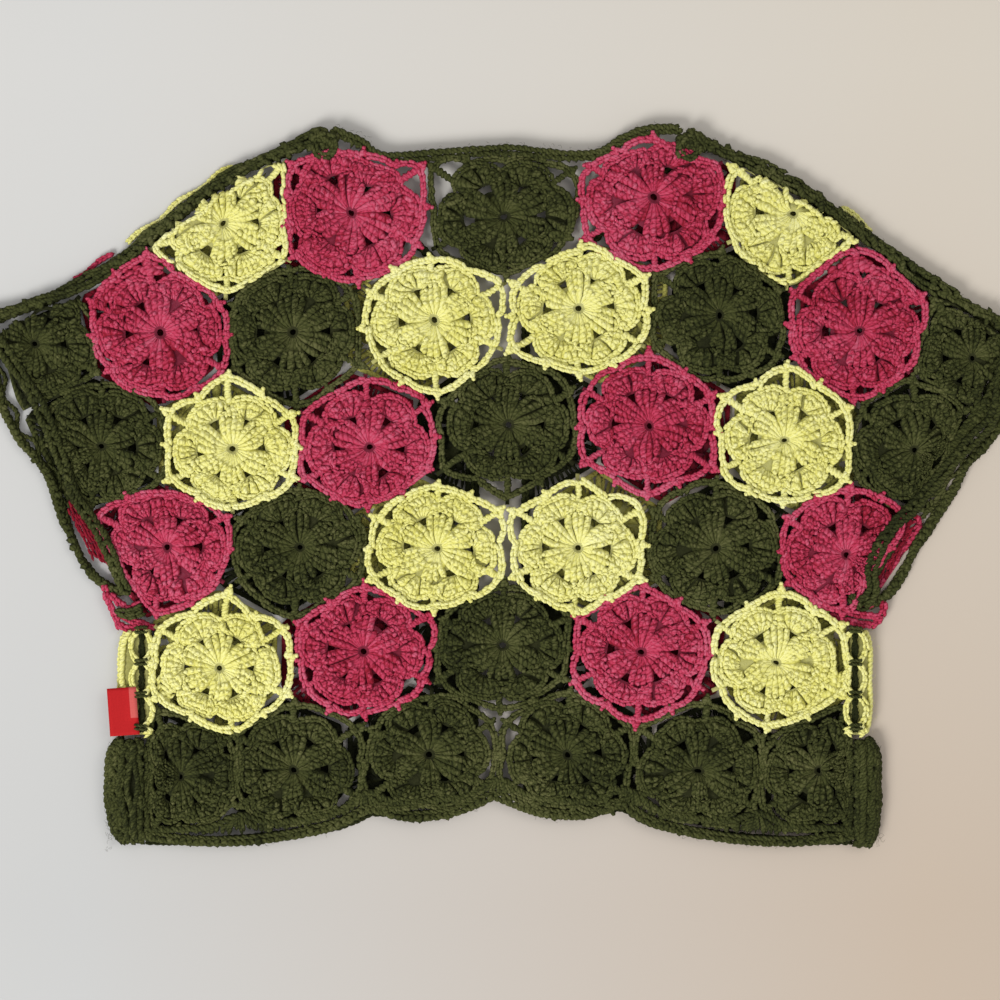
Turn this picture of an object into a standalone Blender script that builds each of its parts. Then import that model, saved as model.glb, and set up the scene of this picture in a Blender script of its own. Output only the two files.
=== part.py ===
"""Crochet cardigan laid flat with its back up: the construction model.

The garment is made of crocheted hexagon motifs, joined edge to edge into a back and two fronts, with
chain borders along the neck, the cuffs, the front opening and the hem. Laid out, the two fronts lie on
the surface and the back lies on them. X runs across the garment, +Y points to the neck and Z is up.
Sizes in the tables are millimetres; the meshes are metres.
"""
import math

import bmesh
import bpy
from mathutils import Vector
from mathutils.geometry import delaunay_2d_cdt

MM = 0.001
GAP = 0.3                   # between two pieces that meet

# Heights of the two layers above the surface.
FRONT_LOW, FRONT_JOIN, FRONT_TOP = 0.0, 2.3, 2.8
BACK_LOW, BACK_JOIN, BACK_TOP = 3.1, 5.4, 6.6
BORDER_GROOVE = 0.6         # valley between the two chain rows of a border
EDGE_ROUND = 0.9            # drop of a border's top at its two edges

# Motifs.
DISC_RADIUS = 24.5          # the dense middle of a motif, inside its ring of chain arcs
DISC_SHARE = 0.88           # the most of a trimmed motif that its disc may take
DISC_SHOULDER = 2.2         # width of the slope from the disc down to the chain arcs
CENTRE_DIP = 0.8            # the small hole where a motif starts

# One row of motifs for each line, from the neck down. Motif number k stands at
# x = middle + pitch * k - squeeze * k^3, where k counts from the middle of the row in whole steps
# (odd rows) or from one half (even rows); heights are the y of each motif, from left to right.
ROW_COLUMNS = ("name", "colours", "middle", "pitch", "squeeze", "heights")
ROWS = [dict(zip(ROW_COLUMNS, row)) for row in (
    ("row_1", "YPGPY", 2.3, 71.3, 2.03, (112.5, 124.0, 121.5, 130.0, 119.0)),
    ("row_2", "GPGYYGPG", 2.9, 65.4, 0.50, (64.0, 69.5, 69.5, 74.5, 80.5, 77.5, 71.5, 64.0)),
    ("row_3", "GYPGPYG", 3.8, 63.1, 0.22, (18.0, 16.5, 17.5, 28.0, 28.0, 21.0, 16.5)),
    ("row_4", "PGYYGP", 3.0, 63.0, 0.29, (-27.0, -27.0, -27.5, -27.5, -27.5, -30.5)),
    ("row_5", "YPGPY", 1.0, 62.8, 0.00, (-80.0, -73.5, -71.0, -73.5, -77.0)),
    ("row_6", "GGGGGG", -0.6, 61.7, 0.72, (-127.5, -127.5, -120.5, -120.5, -127.5, -132.0)),
)]
NECK_STEP = 86.0            # from the first row up to the row that would stand past neck and shoulders
ROW_STEP = 50.0             # from the last row down to the row that would follow it
OUTSIDE_STRETCH = 1.2       # a row's end motifs reach a little further out than half a pitch
SHOULDER_RISE = 25.0        # how much higher the first row's next motif would stand, past the shoulder
SLEEVE_ROWS = range(0, 4)   # rows that end at the shoulder or the cuff; the others end at the side seam

# Edges of the laid garment, left and right: neck end and sleeve end of the shoulder line with the points
# it runs through between them, then each layer's cuff line from the sleeve end down to the armpit, drawn
# towards the bow point.
SLEEVE_CORNER = 1.5         # from the shoulder seam's edge down to where the cuff border starts
SIDE_COLUMNS = ("name", "sign", "neck", "shoulder", "sleeve", "front_cuff_bow", "front_armpit",
                "back_cuff_bow", "back_armpit", "seam_x", "fold_x", "hem_seam_x", "hem_fold_x")
SIDES = [dict(zip(SIDE_COLUMNS, side)) for side in (
    ("left", -1, (-80.0, 159.0), ((-125.0, 137.5), (-183.0, 95.0)), (-229.5, 75.5), (-225.0, 28.5),
     (-174.5, -46.5), (-208.0, 19.0), (-168.0, -46.0), -156.9, -171.9, -161.0, -177.5),
    ("right", 1, (86.0, 158.5), ((137.0, 133.0), (185.0, 98.5)), (229.5, 71.0), (229.0, 29.5),
     (175.5, -47.5), (191.0, -12.5), (164.0, -49.0), 157.2, 167.5, 160.0, 171.0),
)]
# Outer edge of the back neck from the left neck end to the right one.
BACK_NECK = ((-75.0, 162.5), (-62.0, 157.5), (-48.5, 150.5), (0.0, 153.8), (40.0, 151.5), (54.0, 158.5),
             (66.0, 162.5), (81.0, 163.0))
NECK_BORDER = 5.4           # width of the back neck border
NECK_REACH = 12.0           # how far the line that trims the motifs at the neck runs on past its ends
SEAM_WIDTH = 8.4            # width of the rope-like shoulder seam
CUFF_BORDER = 5.4
FRONT_BORDER = 4.4
HEM_BORDER = 7.2

# Hem: its inner edge falls from the middle to the sides, and its outer edge is scalloped.
HEM_MIDDLE = -141.0
HEM_DROP = 14.0
HEM_REACH = 140.0
SCALLOP = 3.6
SCALLOP_PARTS = 5
HEM_PARTS = 8               # stretches of a front's hem
FRONT_HEM_DROP = 1.2        # the fronts hang this much lower than the back

# Side folds: the fronts' outer motifs wrap up round the sides.
FOLD_TOP_Y = -63.0
FOLD_SPLIT_Y = -112.6       # the yellow motif ends and the green hem motif starts
FOLD_LOW_Y = -163.0
FOLD_STEP = 3.0             # over which the front's edge moves from the one fold to the other
FOLD_TURNS = 6              # facets round the fold
FOLD_STATIONS = 5           # lengths along it
FOLD_HEIGHT = 6.4
HEM_FOLD_HEIGHT = 7.4

# Side lacing: a cord that zigzags along the fold between two distances from the seam.
LACE_CROSSINGS = 7
LACE_STEP = 5.0
LACE_NEAR, LACE_FAR = 1.5, 5.5
LACE_WIDTH = 1.6
LACE_THICK = 1.2

# Label.
LABEL_WIDTH, LABEL_LENGTH, LABEL_THICK = 12.0, 21.5, 0.8
LABEL_PLACE = (-170.0, -100.8)
LABEL_TURN = math.radians(4)

# Fronts: an open V from the neck ends down to the opening, whose two edges stand apart.
OPENING_X = 11.5
V_FOOT_Y = 84.0
NECK_CORNER = 2.5           # from the shoulder seam's edge down to where the front border starts
EDGE_BEND = 14.0            # where the front border turns: reach of its rounding
FRONT_SPREAD = 11.0         # how far the fronts' motifs stand out from the back's, at the opening
SPREAD_REACH = 280.0        # distance from the middle at which they would lie under them again
EDGE_CLEAR = 5.0            # least distance from a front's edge to a point inside it

COLOURS = {
    "G": ("crochet_green", (0.046, 0.065, 0.022), 0.95),
    "P": ("crochet_pink", (0.510, 0.032, 0.102), 0.95),
    "Y": ("crochet_yellow", (0.760, 0.790, 0.270), 0.95),
    "R": ("label_red", (0.560, 0.012, 0.012), 0.55),
}


def clear_scene():
    for obj in list(bpy.data.objects):
        bpy.data.objects.remove(obj, do_unlink=True)


def add_object(name, mesh, colour):
    """Link a mesh as a named object with its own Principled material, shaded smooth but for its edges."""
    mesh.shade_smooth()
    mesh.set_sharp_from_angle(angle=math.radians(40))
    obj = bpy.data.objects.new(name, mesh)
    bpy.context.scene.collection.objects.link(obj)
    kind, base, roughness = COLOURS[colour]
    material = bpy.data.materials.new(f"{kind}_{name}")
    material.use_nodes = True
    shader = material.node_tree.nodes["Principled BSDF"]
    shader.inputs["Base Color"].default_value = (*base, 1.0)
    shader.inputs["Roughness"].default_value = roughness
    shader.inputs["Metallic"].default_value = 0.0
    mesh.materials.append(material)
    return obj


def mesh_from(name, points, faces):
    """A mesh from millimetre points, with all faces turned outwards."""
    mesh = bpy.data.meshes.new(name)
    mesh.from_pydata([(x * MM, y * MM, z * MM) for x, y, z in points], [], faces)
    build = bmesh.new()
    build.from_mesh(mesh)
    bmesh.ops.recalc_face_normals(build, faces=build.faces)
    build.to_mesh(mesh)
    build.free()
    return mesh


# ---------------------------------------------------------------- plane geometry

def bow(start, middle, end, steps):
    """Points of a quadratic arc that leaves start and reaches end, drawn towards middle."""
    a, b, c = Vector(start), Vector(middle), Vector(end)
    times = [i / steps for i in range(steps + 1)]
    return [a * (1 - t) ** 2 + b * 2 * t * (1 - t) + c * t * t for t in times]


def smooth(points, steps):
    """Points of a Catmull-Rom curve through all the given ones."""
    line = [Vector(p) for p in points]
    line = [2 * line[0] - line[1], *line, 2 * line[-1] - line[-2]]
    curve = []
    for a, b, c, d in zip(line, line[1:], line[2:], line[3:]):
        for i in range(steps):
            t = i / steps
            curve.append(0.5 * (2 * b + (c - a) * t + (2 * a - 5 * b + 4 * c - d) * t ** 2
                                + (3 * b - a - 3 * c + d) * t ** 3))
    return curve + [line[-2]]


def shifted(path, distance):
    """The path moved sideways, to its left for a positive distance."""
    moved = []
    for i, point in enumerate(path):
        before, after = path[max(i - 1, 0)], path[min(i + 1, len(path) - 1)]
        along = (after - before).normalized()
        moved.append(point + Vector((-along.y, along.x)) * distance)
    return moved


def side_of(point, start, end):
    return (end.x - start.x) * (point.y - start.y) - (end.y - start.y) * (point.x - start.x)


def cut_by_line(polygon, start, end):
    """The part of a convex polygon on the left of the line from start to end."""
    kept = []
    for a, b in zip(polygon, polygon[1:] + polygon[:1]):
        side_a, side_b = side_of(a, start, end), side_of(b, start, end)
        if side_a >= 0:
            kept.append(a)
        if (side_a > 0) != (side_b > 0) and side_a != side_b:
            kept.append(a + (b - a) * (side_a / (side_a - side_b)))
    return kept


def meets(polygon, start, end):
    """Whether the stretch from start to end passes through a convex polygon."""
    low, high = 0.0, 1.0
    for a, b in zip(polygon, polygon[1:] + polygon[:1]):
        at_start, at_end = side_of(start, a, b), side_of(end, a, b)
        if at_start < 0 and at_end < 0:
            return False
        if (at_start < 0) != (at_end < 0):
            crossing = at_start / (at_start - at_end)
            low, high = (max(low, crossing), high) if at_start < 0 else (low, min(high, crossing))
    return low < high


def cut_by_lines(polygon, path):
    """Trim a convex polygon by every stretch of the path that passes through it."""
    for start, end in zip(path, path[1:]):
        if meets(polygon, start, end):
            polygon = cut_by_line(polygon, start, end)
    return polygon


def crossings(polygon, path):
    """Where a path crosses a polygon's edges: (way along the path, edge passed, point), in path order."""
    found = []
    for step, (start, end) in enumerate(zip(path, path[1:])):
        for edge, (a, b) in enumerate(zip(polygon, polygon[1:] + polygon[:1])):
            at_start, at_end = side_of(start, a, b), side_of(end, a, b)
            at_a, at_b = side_of(a, start, end), side_of(b, start, end)
            if (at_start < 0) != (at_end < 0) and (at_a < 0) != (at_b < 0):
                share = at_start / (at_start - at_end)
                found.append((step + share, edge, start + (end - start) * share))
    return sorted(found, key=lambda crossing: crossing[0])


def cut_by_path(polygon, path):
    """The part of a polygon on the left of a path that crosses it, following the path's bends."""
    found = crossings(polygon, path)
    if len(found) < 2:
        return polygon
    (way_in, edge_in, entry), (way_out, edge_out, leave) = found[0], found[-1]
    bends = [p for step, p in enumerate(path) if way_in < step < way_out]
    count = (edge_in - edge_out) % len(polygon)
    rest = [polygon[(edge_out + 1 + i) % len(polygon)] for i in range(count)]
    return [entry, *bends, leave, *rest]


def lengthened(path, distance):
    """The path carried straight on past both its ends."""
    first, last = (path[0] - path[1]).normalized(), (path[-1] - path[-2]).normalized()
    return [path[0] + first * distance, *path[1:-1], path[-1] + last * distance]


def inset(polygon, distance):
    """A convex polygon with every edge moved inwards."""
    shape = list(polygon)
    for a, b in zip(polygon, polygon[1:] + polygon[:1]):
        along = (b - a).normalized()
        inward = Vector((-along.y, along.x)) * distance
        shape = cut_by_line(shape, a + inward, b + inward)
    return tidy(shape)


def tidy(polygon, least=0.4):
    """The polygon without points that all but repeat the one before."""
    return [p for p, q in zip(polygon, polygon[-1:] + polygon[:-1]) if (p - q).length > least]


# ---------------------------------------------------------------- lattice of motifs

def row_keys(number):
    """The counts k of the motifs in a row, from left to right."""
    size = len(ROWS[number]["colours"])
    return [i - (size - 1) / 2 for i in range(size)]


def centre(number, k):
    """The middle of motif k, also for rows and motifs past the ends, which only shape the borders."""
    if number < 0:
        return centre(0, k) + Vector((0.0, NECK_STEP))
    if number >= len(ROWS):
        return centre(len(ROWS) - 1, k) - Vector((0.0, ROW_STEP))
    row = ROWS[number]
    last = row_keys(number)[-1]
    inside = min(max(k, -last), last)
    x = row["middle"] + row["pitch"] * inside - row["squeeze"] * inside ** 3
    heights = row["heights"]
    first = min(int(inside + last), len(heights) - 2)
    y = heights[first] + (heights[first + 1] - heights[first]) * (inside + last - first)
    beyond = (k - inside) * OUTSIDE_STRETCH
    rise = SHOULDER_RISE if number == 0 else 0.0
    return Vector((x + row["pitch"] * beyond, y + rise * abs(beyond)))


def cell(number, k):
    """The hexagon of a motif, anticlockwise: each corner is midway between three motifs."""
    ring = [(number, k + 1), (number - 1, k + 0.5), (number - 1, k - 0.5), (number, k - 1),
            (number + 1, k - 0.5), (number + 1, k + 0.5)]
    here = centre(number, k)
    around = [centre(*key) for key in ring]
    return [(here + a + b) / 3 for a, b in zip(around, around[1:] + around[:1])]


# ---------------------------------------------------------------- lines of the garment

def shoulder_line(side, steps=3):
    """Middle of the shoulder seam, from the neck end to the sleeve end."""
    return smooth((side["neck"], *side["shoulder"], side["sleeve"]), steps)


def cuff_line(side, layer, steps=6):
    """Middle of a layer's cuff border, from the sleeve end to the armpit."""
    start = Vector(side["sleeve"]) - Vector((0.0, SEAM_WIDTH / 2 + GAP + SLEEVE_CORNER))
    return bow(start, side[f"{layer}_cuff_bow"], side[f"{layer}_armpit"], steps)


def hem_inner(x):
    """Height of the hem border's inner edge."""
    fall = math.sin(math.pi / 2 * min(1.0, abs(x) / HEM_REACH)) ** 2
    return HEM_MIDDLE - HEM_DROP * fall


def hem_stations():
    """Places where two hem motifs meet, with both ends of the hem."""
    last = len(ROWS) - 1
    middles = [centre(last, k).x for k in row_keys(last)]
    between = [(a + b) / 2 for a, b in zip(middles, middles[1:])]
    return [SIDES[0]["hem_seam_x"] + GAP, *between, SIDES[1]["hem_seam_x"] - GAP]


def left_to_inside(path):
    """The path, turned round if the middle of the garment lies on its right."""
    middle = Vector((0.0, 0.0))
    return path if side_of(middle, path[0], path[-1]) > 0 else path[::-1]


def back_edges(number):
    """The lines that trim the back's motifs in a row, each with the garment on its left."""
    edges = []
    for side in SIDES:
        sign = side["sign"]
        if number in SLEEVE_ROWS:
            seam = shifted(shoulder_line(side), -sign * (SEAM_WIDTH / 2 + GAP))
            cuff = shifted(cuff_line(side, "back"), -sign * (CUFF_BORDER / 2 + GAP))
            edges += [seam, cuff + [cuff[-1] * 2 - cuff[-2]]]
        else:
            seam = [Vector((side["seam_x"], y)) for y in (FOLD_TOP_Y, FOLD_SPLIT_Y)]
            hem_seam = [Vector((side["hem_seam_x"] - sign * GAP, y)) for y in (FOLD_SPLIT_Y, FOLD_LOW_Y)]
            edges += [seam, hem_seam]
    edges.append([Vector((x, hem_inner(x) + GAP)) for x in hem_stations()])
    return [left_to_inside(edge) for edge in edges]


# ---------------------------------------------------------------- solids

def motif_plate(name, middle, outline, colour):
    """One motif: a thin plate with its dense, thicker disc in the middle."""
    ring = []
    for a, b in zip(outline, outline[1:] + outline[:1]):
        ring += [a, (a + b) / 2]
    size = len(ring)
    reach = [(p - middle).length for p in ring]
    foot = [middle + (p - middle) * min(DISC_RADIUS / r, DISC_SHARE) for p, r in zip(ring, reach)]
    crown = [middle + (p - middle) * ((p - middle).length - DISC_SHOULDER) / (p - middle).length
             for p in foot]
    points = [(p.x, p.y, BACK_LOW) for p in ring]
    points += [(p.x, p.y, BACK_JOIN) for p in ring]
    points += [(p.x, p.y, BACK_JOIN) for p in foot]
    points += [(p.x, p.y, BACK_TOP) for p in crown]
    points.append((middle.x, middle.y, BACK_TOP - CENTRE_DIP))
    faces = [tuple(range(size))]
    for i in range(size):
        j = (i + 1) % size
        faces += [(level * size + i, level * size + j, (level + 1) * size + j, (level + 1) * size + i)
                  for level in range(3)]
        faces.append((3 * size + i, 3 * size + j, 4 * size))
    add_object(name, mesh_from(name, points, faces), colour)


def strip(name, inner, outer, low, high, colour):
    """A chain border: two rows of chain side by side, between its inner and its outer edge."""
    profile = ((0.0, low), (0.0, high - EDGE_ROUND), (0.25, high), (0.5, high - BORDER_GROOVE),
               (0.75, high), (1.0, high - EDGE_ROUND), (1.0, low))
    points, faces, size = [], [], len(profile)
    for a, b in zip(inner, outer):
        for share, height in profile:
            place = a + (b - a) * share
            points.append((place.x, place.y, height))
    for station in range(len(inner) - 1):
        first, second = station * size, (station + 1) * size
        for i in range(size):
            j = (i + 1) % size
            faces.append((first + i, first + j, second + j, second + i))
    faces += [tuple(range(size)), tuple(range(len(points) - size, len(points)))]
    add_object(name, mesh_from(name, points, faces), colour)


def border(name, path, width, low, high, colour="G"):
    """A border of one width along the middle line given."""
    strip(name, shifted(path, width / 2), shifted(path, -width / 2), low, high, colour)


def make_back():
    neck = left_to_inside(lengthened(shifted(smooth(BACK_NECK, 3), -NECK_BORDER - GAP), NECK_REACH))
    for number, row in enumerate(ROWS):
        edges = back_edges(number)
        for place, k in enumerate(row_keys(number)):
            outline = cell(number, k)
            for edge in edges:
                outline = cut_by_lines(outline, edge)
            outline = tidy(cut_by_path(inset(tidy(outline), GAP / 2), neck))
            motif_plate(f"{row['name']}_motif_{place + 1}", centre(number, k), outline,
                        row["colours"][place])


def front_x(x, sign):
    """Where a motif of the back has its match on a front, moved out from the opening."""
    return x + sign * FRONT_SPREAD * (1 - abs(x) / SPREAD_REACH)


def front_edge(side):
    """Middle of a front's border: from the neck end down the V and the opening, and along the hem."""
    sign = side["sign"]
    opening = sign * OPENING_X
    neck = Vector(side["neck"]) - Vector((0.0, SEAM_WIDTH / 2 + NECK_CORNER))
    foot, low = Vector((opening, V_FOOT_Y)), Vector((opening, hem_y(opening)))
    up = Vector((0.0, EDGE_BEND))
    out = Vector((sign * EDGE_BEND, 0.0))
    above = foot.lerp(neck, EDGE_BEND / (neck - foot).length)
    start, end = low.x + out.x, side["hem_seam_x"] - sign * (GAP + 0.1)
    hem = [start + (end - start) * (i + 1) / HEM_PARTS for i in range(HEM_PARTS)]
    return [neck, neck.lerp(above, 0.5), *bow(above, foot, foot - up, 3), low.lerp(foot, 0.5),
            *bow(low + up, low, (start, hem_y(start)), 3), *(Vector((x, hem_y(x))) for x in hem)]


def hem_y(x):
    """Height of the middle of the fronts' hem border."""
    return hem_inner(x) - HEM_BORDER / 2 - FRONT_HEM_DROP


def front_outline(side):
    """The front's closed outline inside its borders and seams."""
    sign = side["sign"]
    free = shifted(front_edge(side), sign * (FRONT_BORDER / 2 + GAP))
    seam = shifted(shoulder_line(side), -sign * (SEAM_WIDTH / 2 + GAP))
    cuff = shifted(cuff_line(side, "front"), -sign * (CUFF_BORDER / 2 + GAP))
    sides = [Vector((side["seam_x"] - sign * GAP, FOLD_TOP_Y)),
             Vector((side["seam_x"] - sign * GAP, FOLD_SPLIT_Y)),
             Vector((side["hem_seam_x"] - sign * GAP, FOLD_SPLIT_Y - FOLD_STEP))]
    return free[::-1] + seam[1:-1] + cuff + sides


def make_front(side):
    """One front: a flat wall, a little thinner along the joins of its motifs."""
    sign = side["sign"]
    outline = front_outline(side)
    joints, middles = [], []
    for number in range(len(ROWS)):
        for k in row_keys(number):
            middle = centre(number, k)
            middles.append(Vector((front_x(middle.x, sign), middle.y)))
            for corner in cell(number, k)[:2]:
                joints.append(Vector((front_x(corner.x, sign), corner.y)))
    inner = [p for p in joints + middles if clearance(p, outline) > EDGE_CLEAR]
    size = len(outline)
    edges = [(i, (i + 1) % size) for i in range(size)]
    points, _, faces, *_ = delaunay_2d_cdt(outline + inner, edges, [list(range(size))], 1, 1e-4)
    count = len(points)
    tops = [FRONT_TOP if min((p - m).length for m in middles) < EDGE_CLEAR else FRONT_JOIN for p in points]
    solid = [(p.x, p.y, FRONT_LOW) for p in points] + [(p.x, p.y, z) for p, z in zip(points, tops)]
    walls = [tuple(face) for face in faces] + [tuple(i + count for i in face) for face in faces]
    used = {}
    for face in faces:
        for a, b in zip(face, face[1:] + face[:1]):
            used[frozenset((a, b))] = used.get(frozenset((a, b)), 0) + 1
    for pair, times in used.items():
        if times == 1:
            a, b = pair
            walls.append((a, b, b + count, a + count))
    name = f"front_{side['name']}"
    add_object(name, mesh_from(name, solid, walls), "P")


def clearance(point, outline):
    """Distance from a point inside a closed outline to it, or -1 outside."""
    inside, nearest = False, math.inf
    for a, b in zip(outline, outline[1:] + outline[:1]):
        if (a.y > point.y) != (b.y > point.y):
            if point.x < a.x + (b.x - a.x) * (point.y - a.y) / (b.y - a.y):
                inside = not inside
        along = b - a
        share = min(1.0, max(0.0, (point - a).dot(along) / along.length_squared))
        nearest = min(nearest, (a + along * share - point).length)
    return nearest if inside else -1.0


def make_borders(side):
    name = side["name"]
    seam = shoulder_line(side)
    border(f"shoulder_seam_{name}", seam, SEAM_WIDTH, FRONT_LOW, BACK_TOP)
    border(f"cuff_border_back_{name}", cuff_line(side, "back", 10), CUFF_BORDER, BACK_LOW, BACK_TOP)
    border(f"cuff_border_front_{name}", cuff_line(side, "front", 10), CUFF_BORDER, FRONT_LOW,
           FRONT_TOP)
    border(f"front_border_{name}", front_edge(side), FRONT_BORDER, FRONT_LOW, FRONT_TOP)


def make_neck_border():
    outer = smooth(BACK_NECK, 3)
    strip("neck_border_back", shifted(outer, -NECK_BORDER), outer, BACK_LOW, BACK_TOP, "G")


def make_hem_border():
    """The back's hem: straight along the motifs, with one scallop below each of them."""
    stations = hem_stations()
    inner, outer = [], []
    for a, b in zip(stations, stations[1:]):
        for i in range(SCALLOP_PARTS):
            share = i / SCALLOP_PARTS
            depth = HEM_BORDER - SCALLOP * (1 - math.sin(math.pi * share))
            inner.append(Vector((a + (b - a) * share, hem_inner(a) + (hem_inner(b) - hem_inner(a)) * share)))
            outer.append(inner[-1] - Vector((0.0, depth)))
    end = stations[-1]
    inner.append(Vector((end, hem_inner(end))))
    outer.append(Vector((end, hem_inner(end) - HEM_BORDER + SCALLOP)))
    strip("hem_border_back", inner, outer, BACK_LOW, BACK_TOP, "G")


def fold(name, sign, seam_x, fold_x, ends, height, colour):
    """Cloth turned up round the side: a rounded roll with a flat foot, from one end to the other."""
    radius = height / 2
    profile = [(seam_x, 0.0)]
    for i in range(FOLD_TURNS + 1):
        angle = -math.pi / 2 + math.pi * i / FOLD_TURNS
        across = fold_x - sign * radius + sign * radius * math.cos(angle)
        profile.append((across, radius + radius * math.sin(angle)))
    profile.append((seam_x, height))
    top, low = ends
    points, faces, size = [], [], len(profile)
    for station in range(FOLD_STATIONS + 1):
        y = top + (low - top) * station / FOLD_STATIONS
        for x, z in profile:
            points.append((x, y, z))
    for station in range(FOLD_STATIONS):
        first, second = station * size, (station + 1) * size
        for i in range(size):
            j = (i + 1) % size
            faces.append((first + i, first + j, second + j, second + i))
    faces += [tuple(range(size)), tuple(range(len(points) - size, len(points)))]
    add_object(name, mesh_from(name, points, faces), colour)


def make_folds(side):
    sign, name = side["sign"], side["name"]
    seam, hem_seam = side["seam_x"] + sign * GAP, side["hem_seam_x"]
    fold(f"side_fold_{name}", sign, seam, side["fold_x"], (FOLD_TOP_Y, FOLD_SPLIT_Y), FOLD_HEIGHT, "Y")
    fold(f"hem_fold_{name}", sign, hem_seam, side["hem_fold_x"], (FOLD_SPLIT_Y - GAP, FOLD_LOW_Y),
         HEM_FOLD_HEIGHT, "G")


def make_lacing(side):
    """The green cord that laces the side seam, zigzag over the fold's edge."""
    low = FOLD_HEIGHT + GAP
    path = []
    for i in range(LACE_CROSSINGS):
        out = LACE_NEAR if i % 2 else LACE_FAR
        path.append(Vector((side["seam_x"] + side["sign"] * out, FOLD_TOP_Y - LACE_STEP * (i + 1))))
    border(f"side_lacing_{side['name']}", path, LACE_WIDTH, low, low + LACE_THICK)


def make_label():
    """The small bare label, sewn in at the left side seam and lying out over the fold."""
    place = Vector((*LABEL_PLACE, FOLD_HEIGHT + GAP + LABEL_THICK / 2))
    build = bmesh.new()
    bmesh.ops.create_cube(build, size=1.0)
    bmesh.ops.scale(build, vec=(LABEL_WIDTH * MM, LABEL_LENGTH * MM, LABEL_THICK * MM), verts=build.verts)
    mesh = bpy.data.meshes.new("side_label")
    build.to_mesh(mesh)
    build.free()
    label = add_object("side_label", mesh, "R")
    label.location = place * MM
    label.rotation_euler = (0.0, 0.0, LABEL_TURN)


def main():
    clear_scene()
    make_back()
    make_neck_border()
    make_hem_border()
    for side in SIDES:
        make_front(side)
        make_borders(side)
        make_folds(side)
        make_lacing(side)
    make_label()


main()
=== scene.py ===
"""Crochet cardigan laid flat with its back up: how it looks.

Every stitch is a short strand of yarn. Strands build the petals, shells, chains and picots of each
hexagon motif, and the chain borders round the garment. Lengths here are millimetres; meshes are metres.
"""
import math

import bpy
import numpy as np
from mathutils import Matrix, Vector


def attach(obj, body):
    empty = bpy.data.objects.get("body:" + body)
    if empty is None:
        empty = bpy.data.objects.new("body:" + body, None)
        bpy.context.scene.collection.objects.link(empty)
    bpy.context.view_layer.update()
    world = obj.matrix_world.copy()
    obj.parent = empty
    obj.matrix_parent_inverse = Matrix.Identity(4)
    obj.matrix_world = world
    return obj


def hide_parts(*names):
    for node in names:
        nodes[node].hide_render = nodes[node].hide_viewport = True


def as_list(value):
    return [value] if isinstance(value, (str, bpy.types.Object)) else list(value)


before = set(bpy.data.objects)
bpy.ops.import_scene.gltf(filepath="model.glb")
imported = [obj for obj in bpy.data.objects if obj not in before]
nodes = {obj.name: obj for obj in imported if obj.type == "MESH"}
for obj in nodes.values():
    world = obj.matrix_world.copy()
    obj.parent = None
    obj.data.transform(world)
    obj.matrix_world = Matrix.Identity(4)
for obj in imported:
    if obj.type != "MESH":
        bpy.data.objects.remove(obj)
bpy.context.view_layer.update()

MM = 0.001
TURN = 2 * math.pi
SEED = 7
SEEDS = {"front": 100, "shoulder": 201, "cuff_back": 202, "cuff_front": 203, "front_edge": 204,
         "past_shoulder": 205, "past_cuff": 206, "neck": 300, "hem": 301, "side_fold": 400, "hem_fold": 410,
         "lacing": 420}     # the back's motifs have 0 to 36

# ---------------------------------------------------------------- the garment's measures, most as in the CAD

BACK_LOW = 3.1              # the foot of the back's plates, over the fronts
GAP = 0.3                   # between neighbouring solids
ROW_COLUMNS = ("name", "colours", "middle", "pitch", "squeeze", "heights")
ROWS = [dict(zip(ROW_COLUMNS, row)) for row in (
    ("row_1", "YPGPY", 2.3, 71.3, 2.03, (112.5, 124.0, 121.5, 130.0, 119.0)),
    ("row_2", "GPGYYGPG", 2.9, 65.4, 0.50, (64.0, 69.5, 69.5, 74.5, 80.5, 77.5, 71.5, 64.0)),
    ("row_3", "GYPGPYG", 3.8, 63.1, 0.22, (18.0, 16.5, 17.5, 28.0, 28.0, 21.0, 16.5)),
    ("row_4", "PGYYGP", 3.0, 63.0, 0.29, (-27.0, -27.0, -27.5, -27.5, -27.5, -30.5)),
    ("row_5", "YPGPY", 1.0, 62.8, 0.00, (-80.0, -73.5, -71.0, -73.5, -77.0)),
    ("row_6", "GGGGGG", -0.6, 61.7, 0.72, (-127.5, -127.5, -120.5, -120.5, -127.5, -132.0)),
)]
NECK_STEP, ROW_STEP, OUTSIDE_STRETCH, SHOULDER_RISE = 86.0, 50.0, 1.2, 25.0
SLEEVE_CORNER = 1.5
SIDE_COLUMNS = ("name", "sign", "neck", "shoulder", "sleeve", "front_cuff_bow", "front_armpit",
                "back_cuff_bow", "back_armpit", "seam_x", "fold_x", "hem_seam_x", "hem_fold_x")
SIDES = [dict(zip(SIDE_COLUMNS, side)) for side in (
    ("left", -1, (-80.0, 159.0), ((-125.0, 137.5), (-183.0, 95.0)), (-229.5, 75.5), (-225.0, 28.5),
     (-174.5, -46.5), (-208.0, 19.0), (-168.0, -46.0), -156.9, -171.9, -161.0, -177.5),
    ("right", 1, (86.0, 158.5), ((137.0, 133.0), (185.0, 98.5)), (229.5, 71.0), (229.0, 29.5),
     (175.5, -47.5), (191.0, -12.5), (164.0, -49.0), 157.2, 167.5, 160.0, 171.0),
)]
BACK_NECK = ((-75.0, 162.5), (-62.0, 157.5), (-48.5, 150.5), (0.0, 153.8), (40.0, 151.5), (54.0, 158.5),
             (66.0, 162.5), (81.0, 163.0))
SEAM_WIDTH, HEM_BORDER = 8.4, 7.2
HEM_MIDDLE, HEM_DROP, HEM_REACH, FRONT_HEM_DROP = -141.0, 14.0, 140.0, 1.2
FOLD_TOP_Y, FOLD_SPLIT_Y, FOLD_LOW_Y, FOLD_HEIGHT, HEM_FOLD_HEIGHT = -63.0, -112.6, -163.0, 6.4, 7.4
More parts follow.
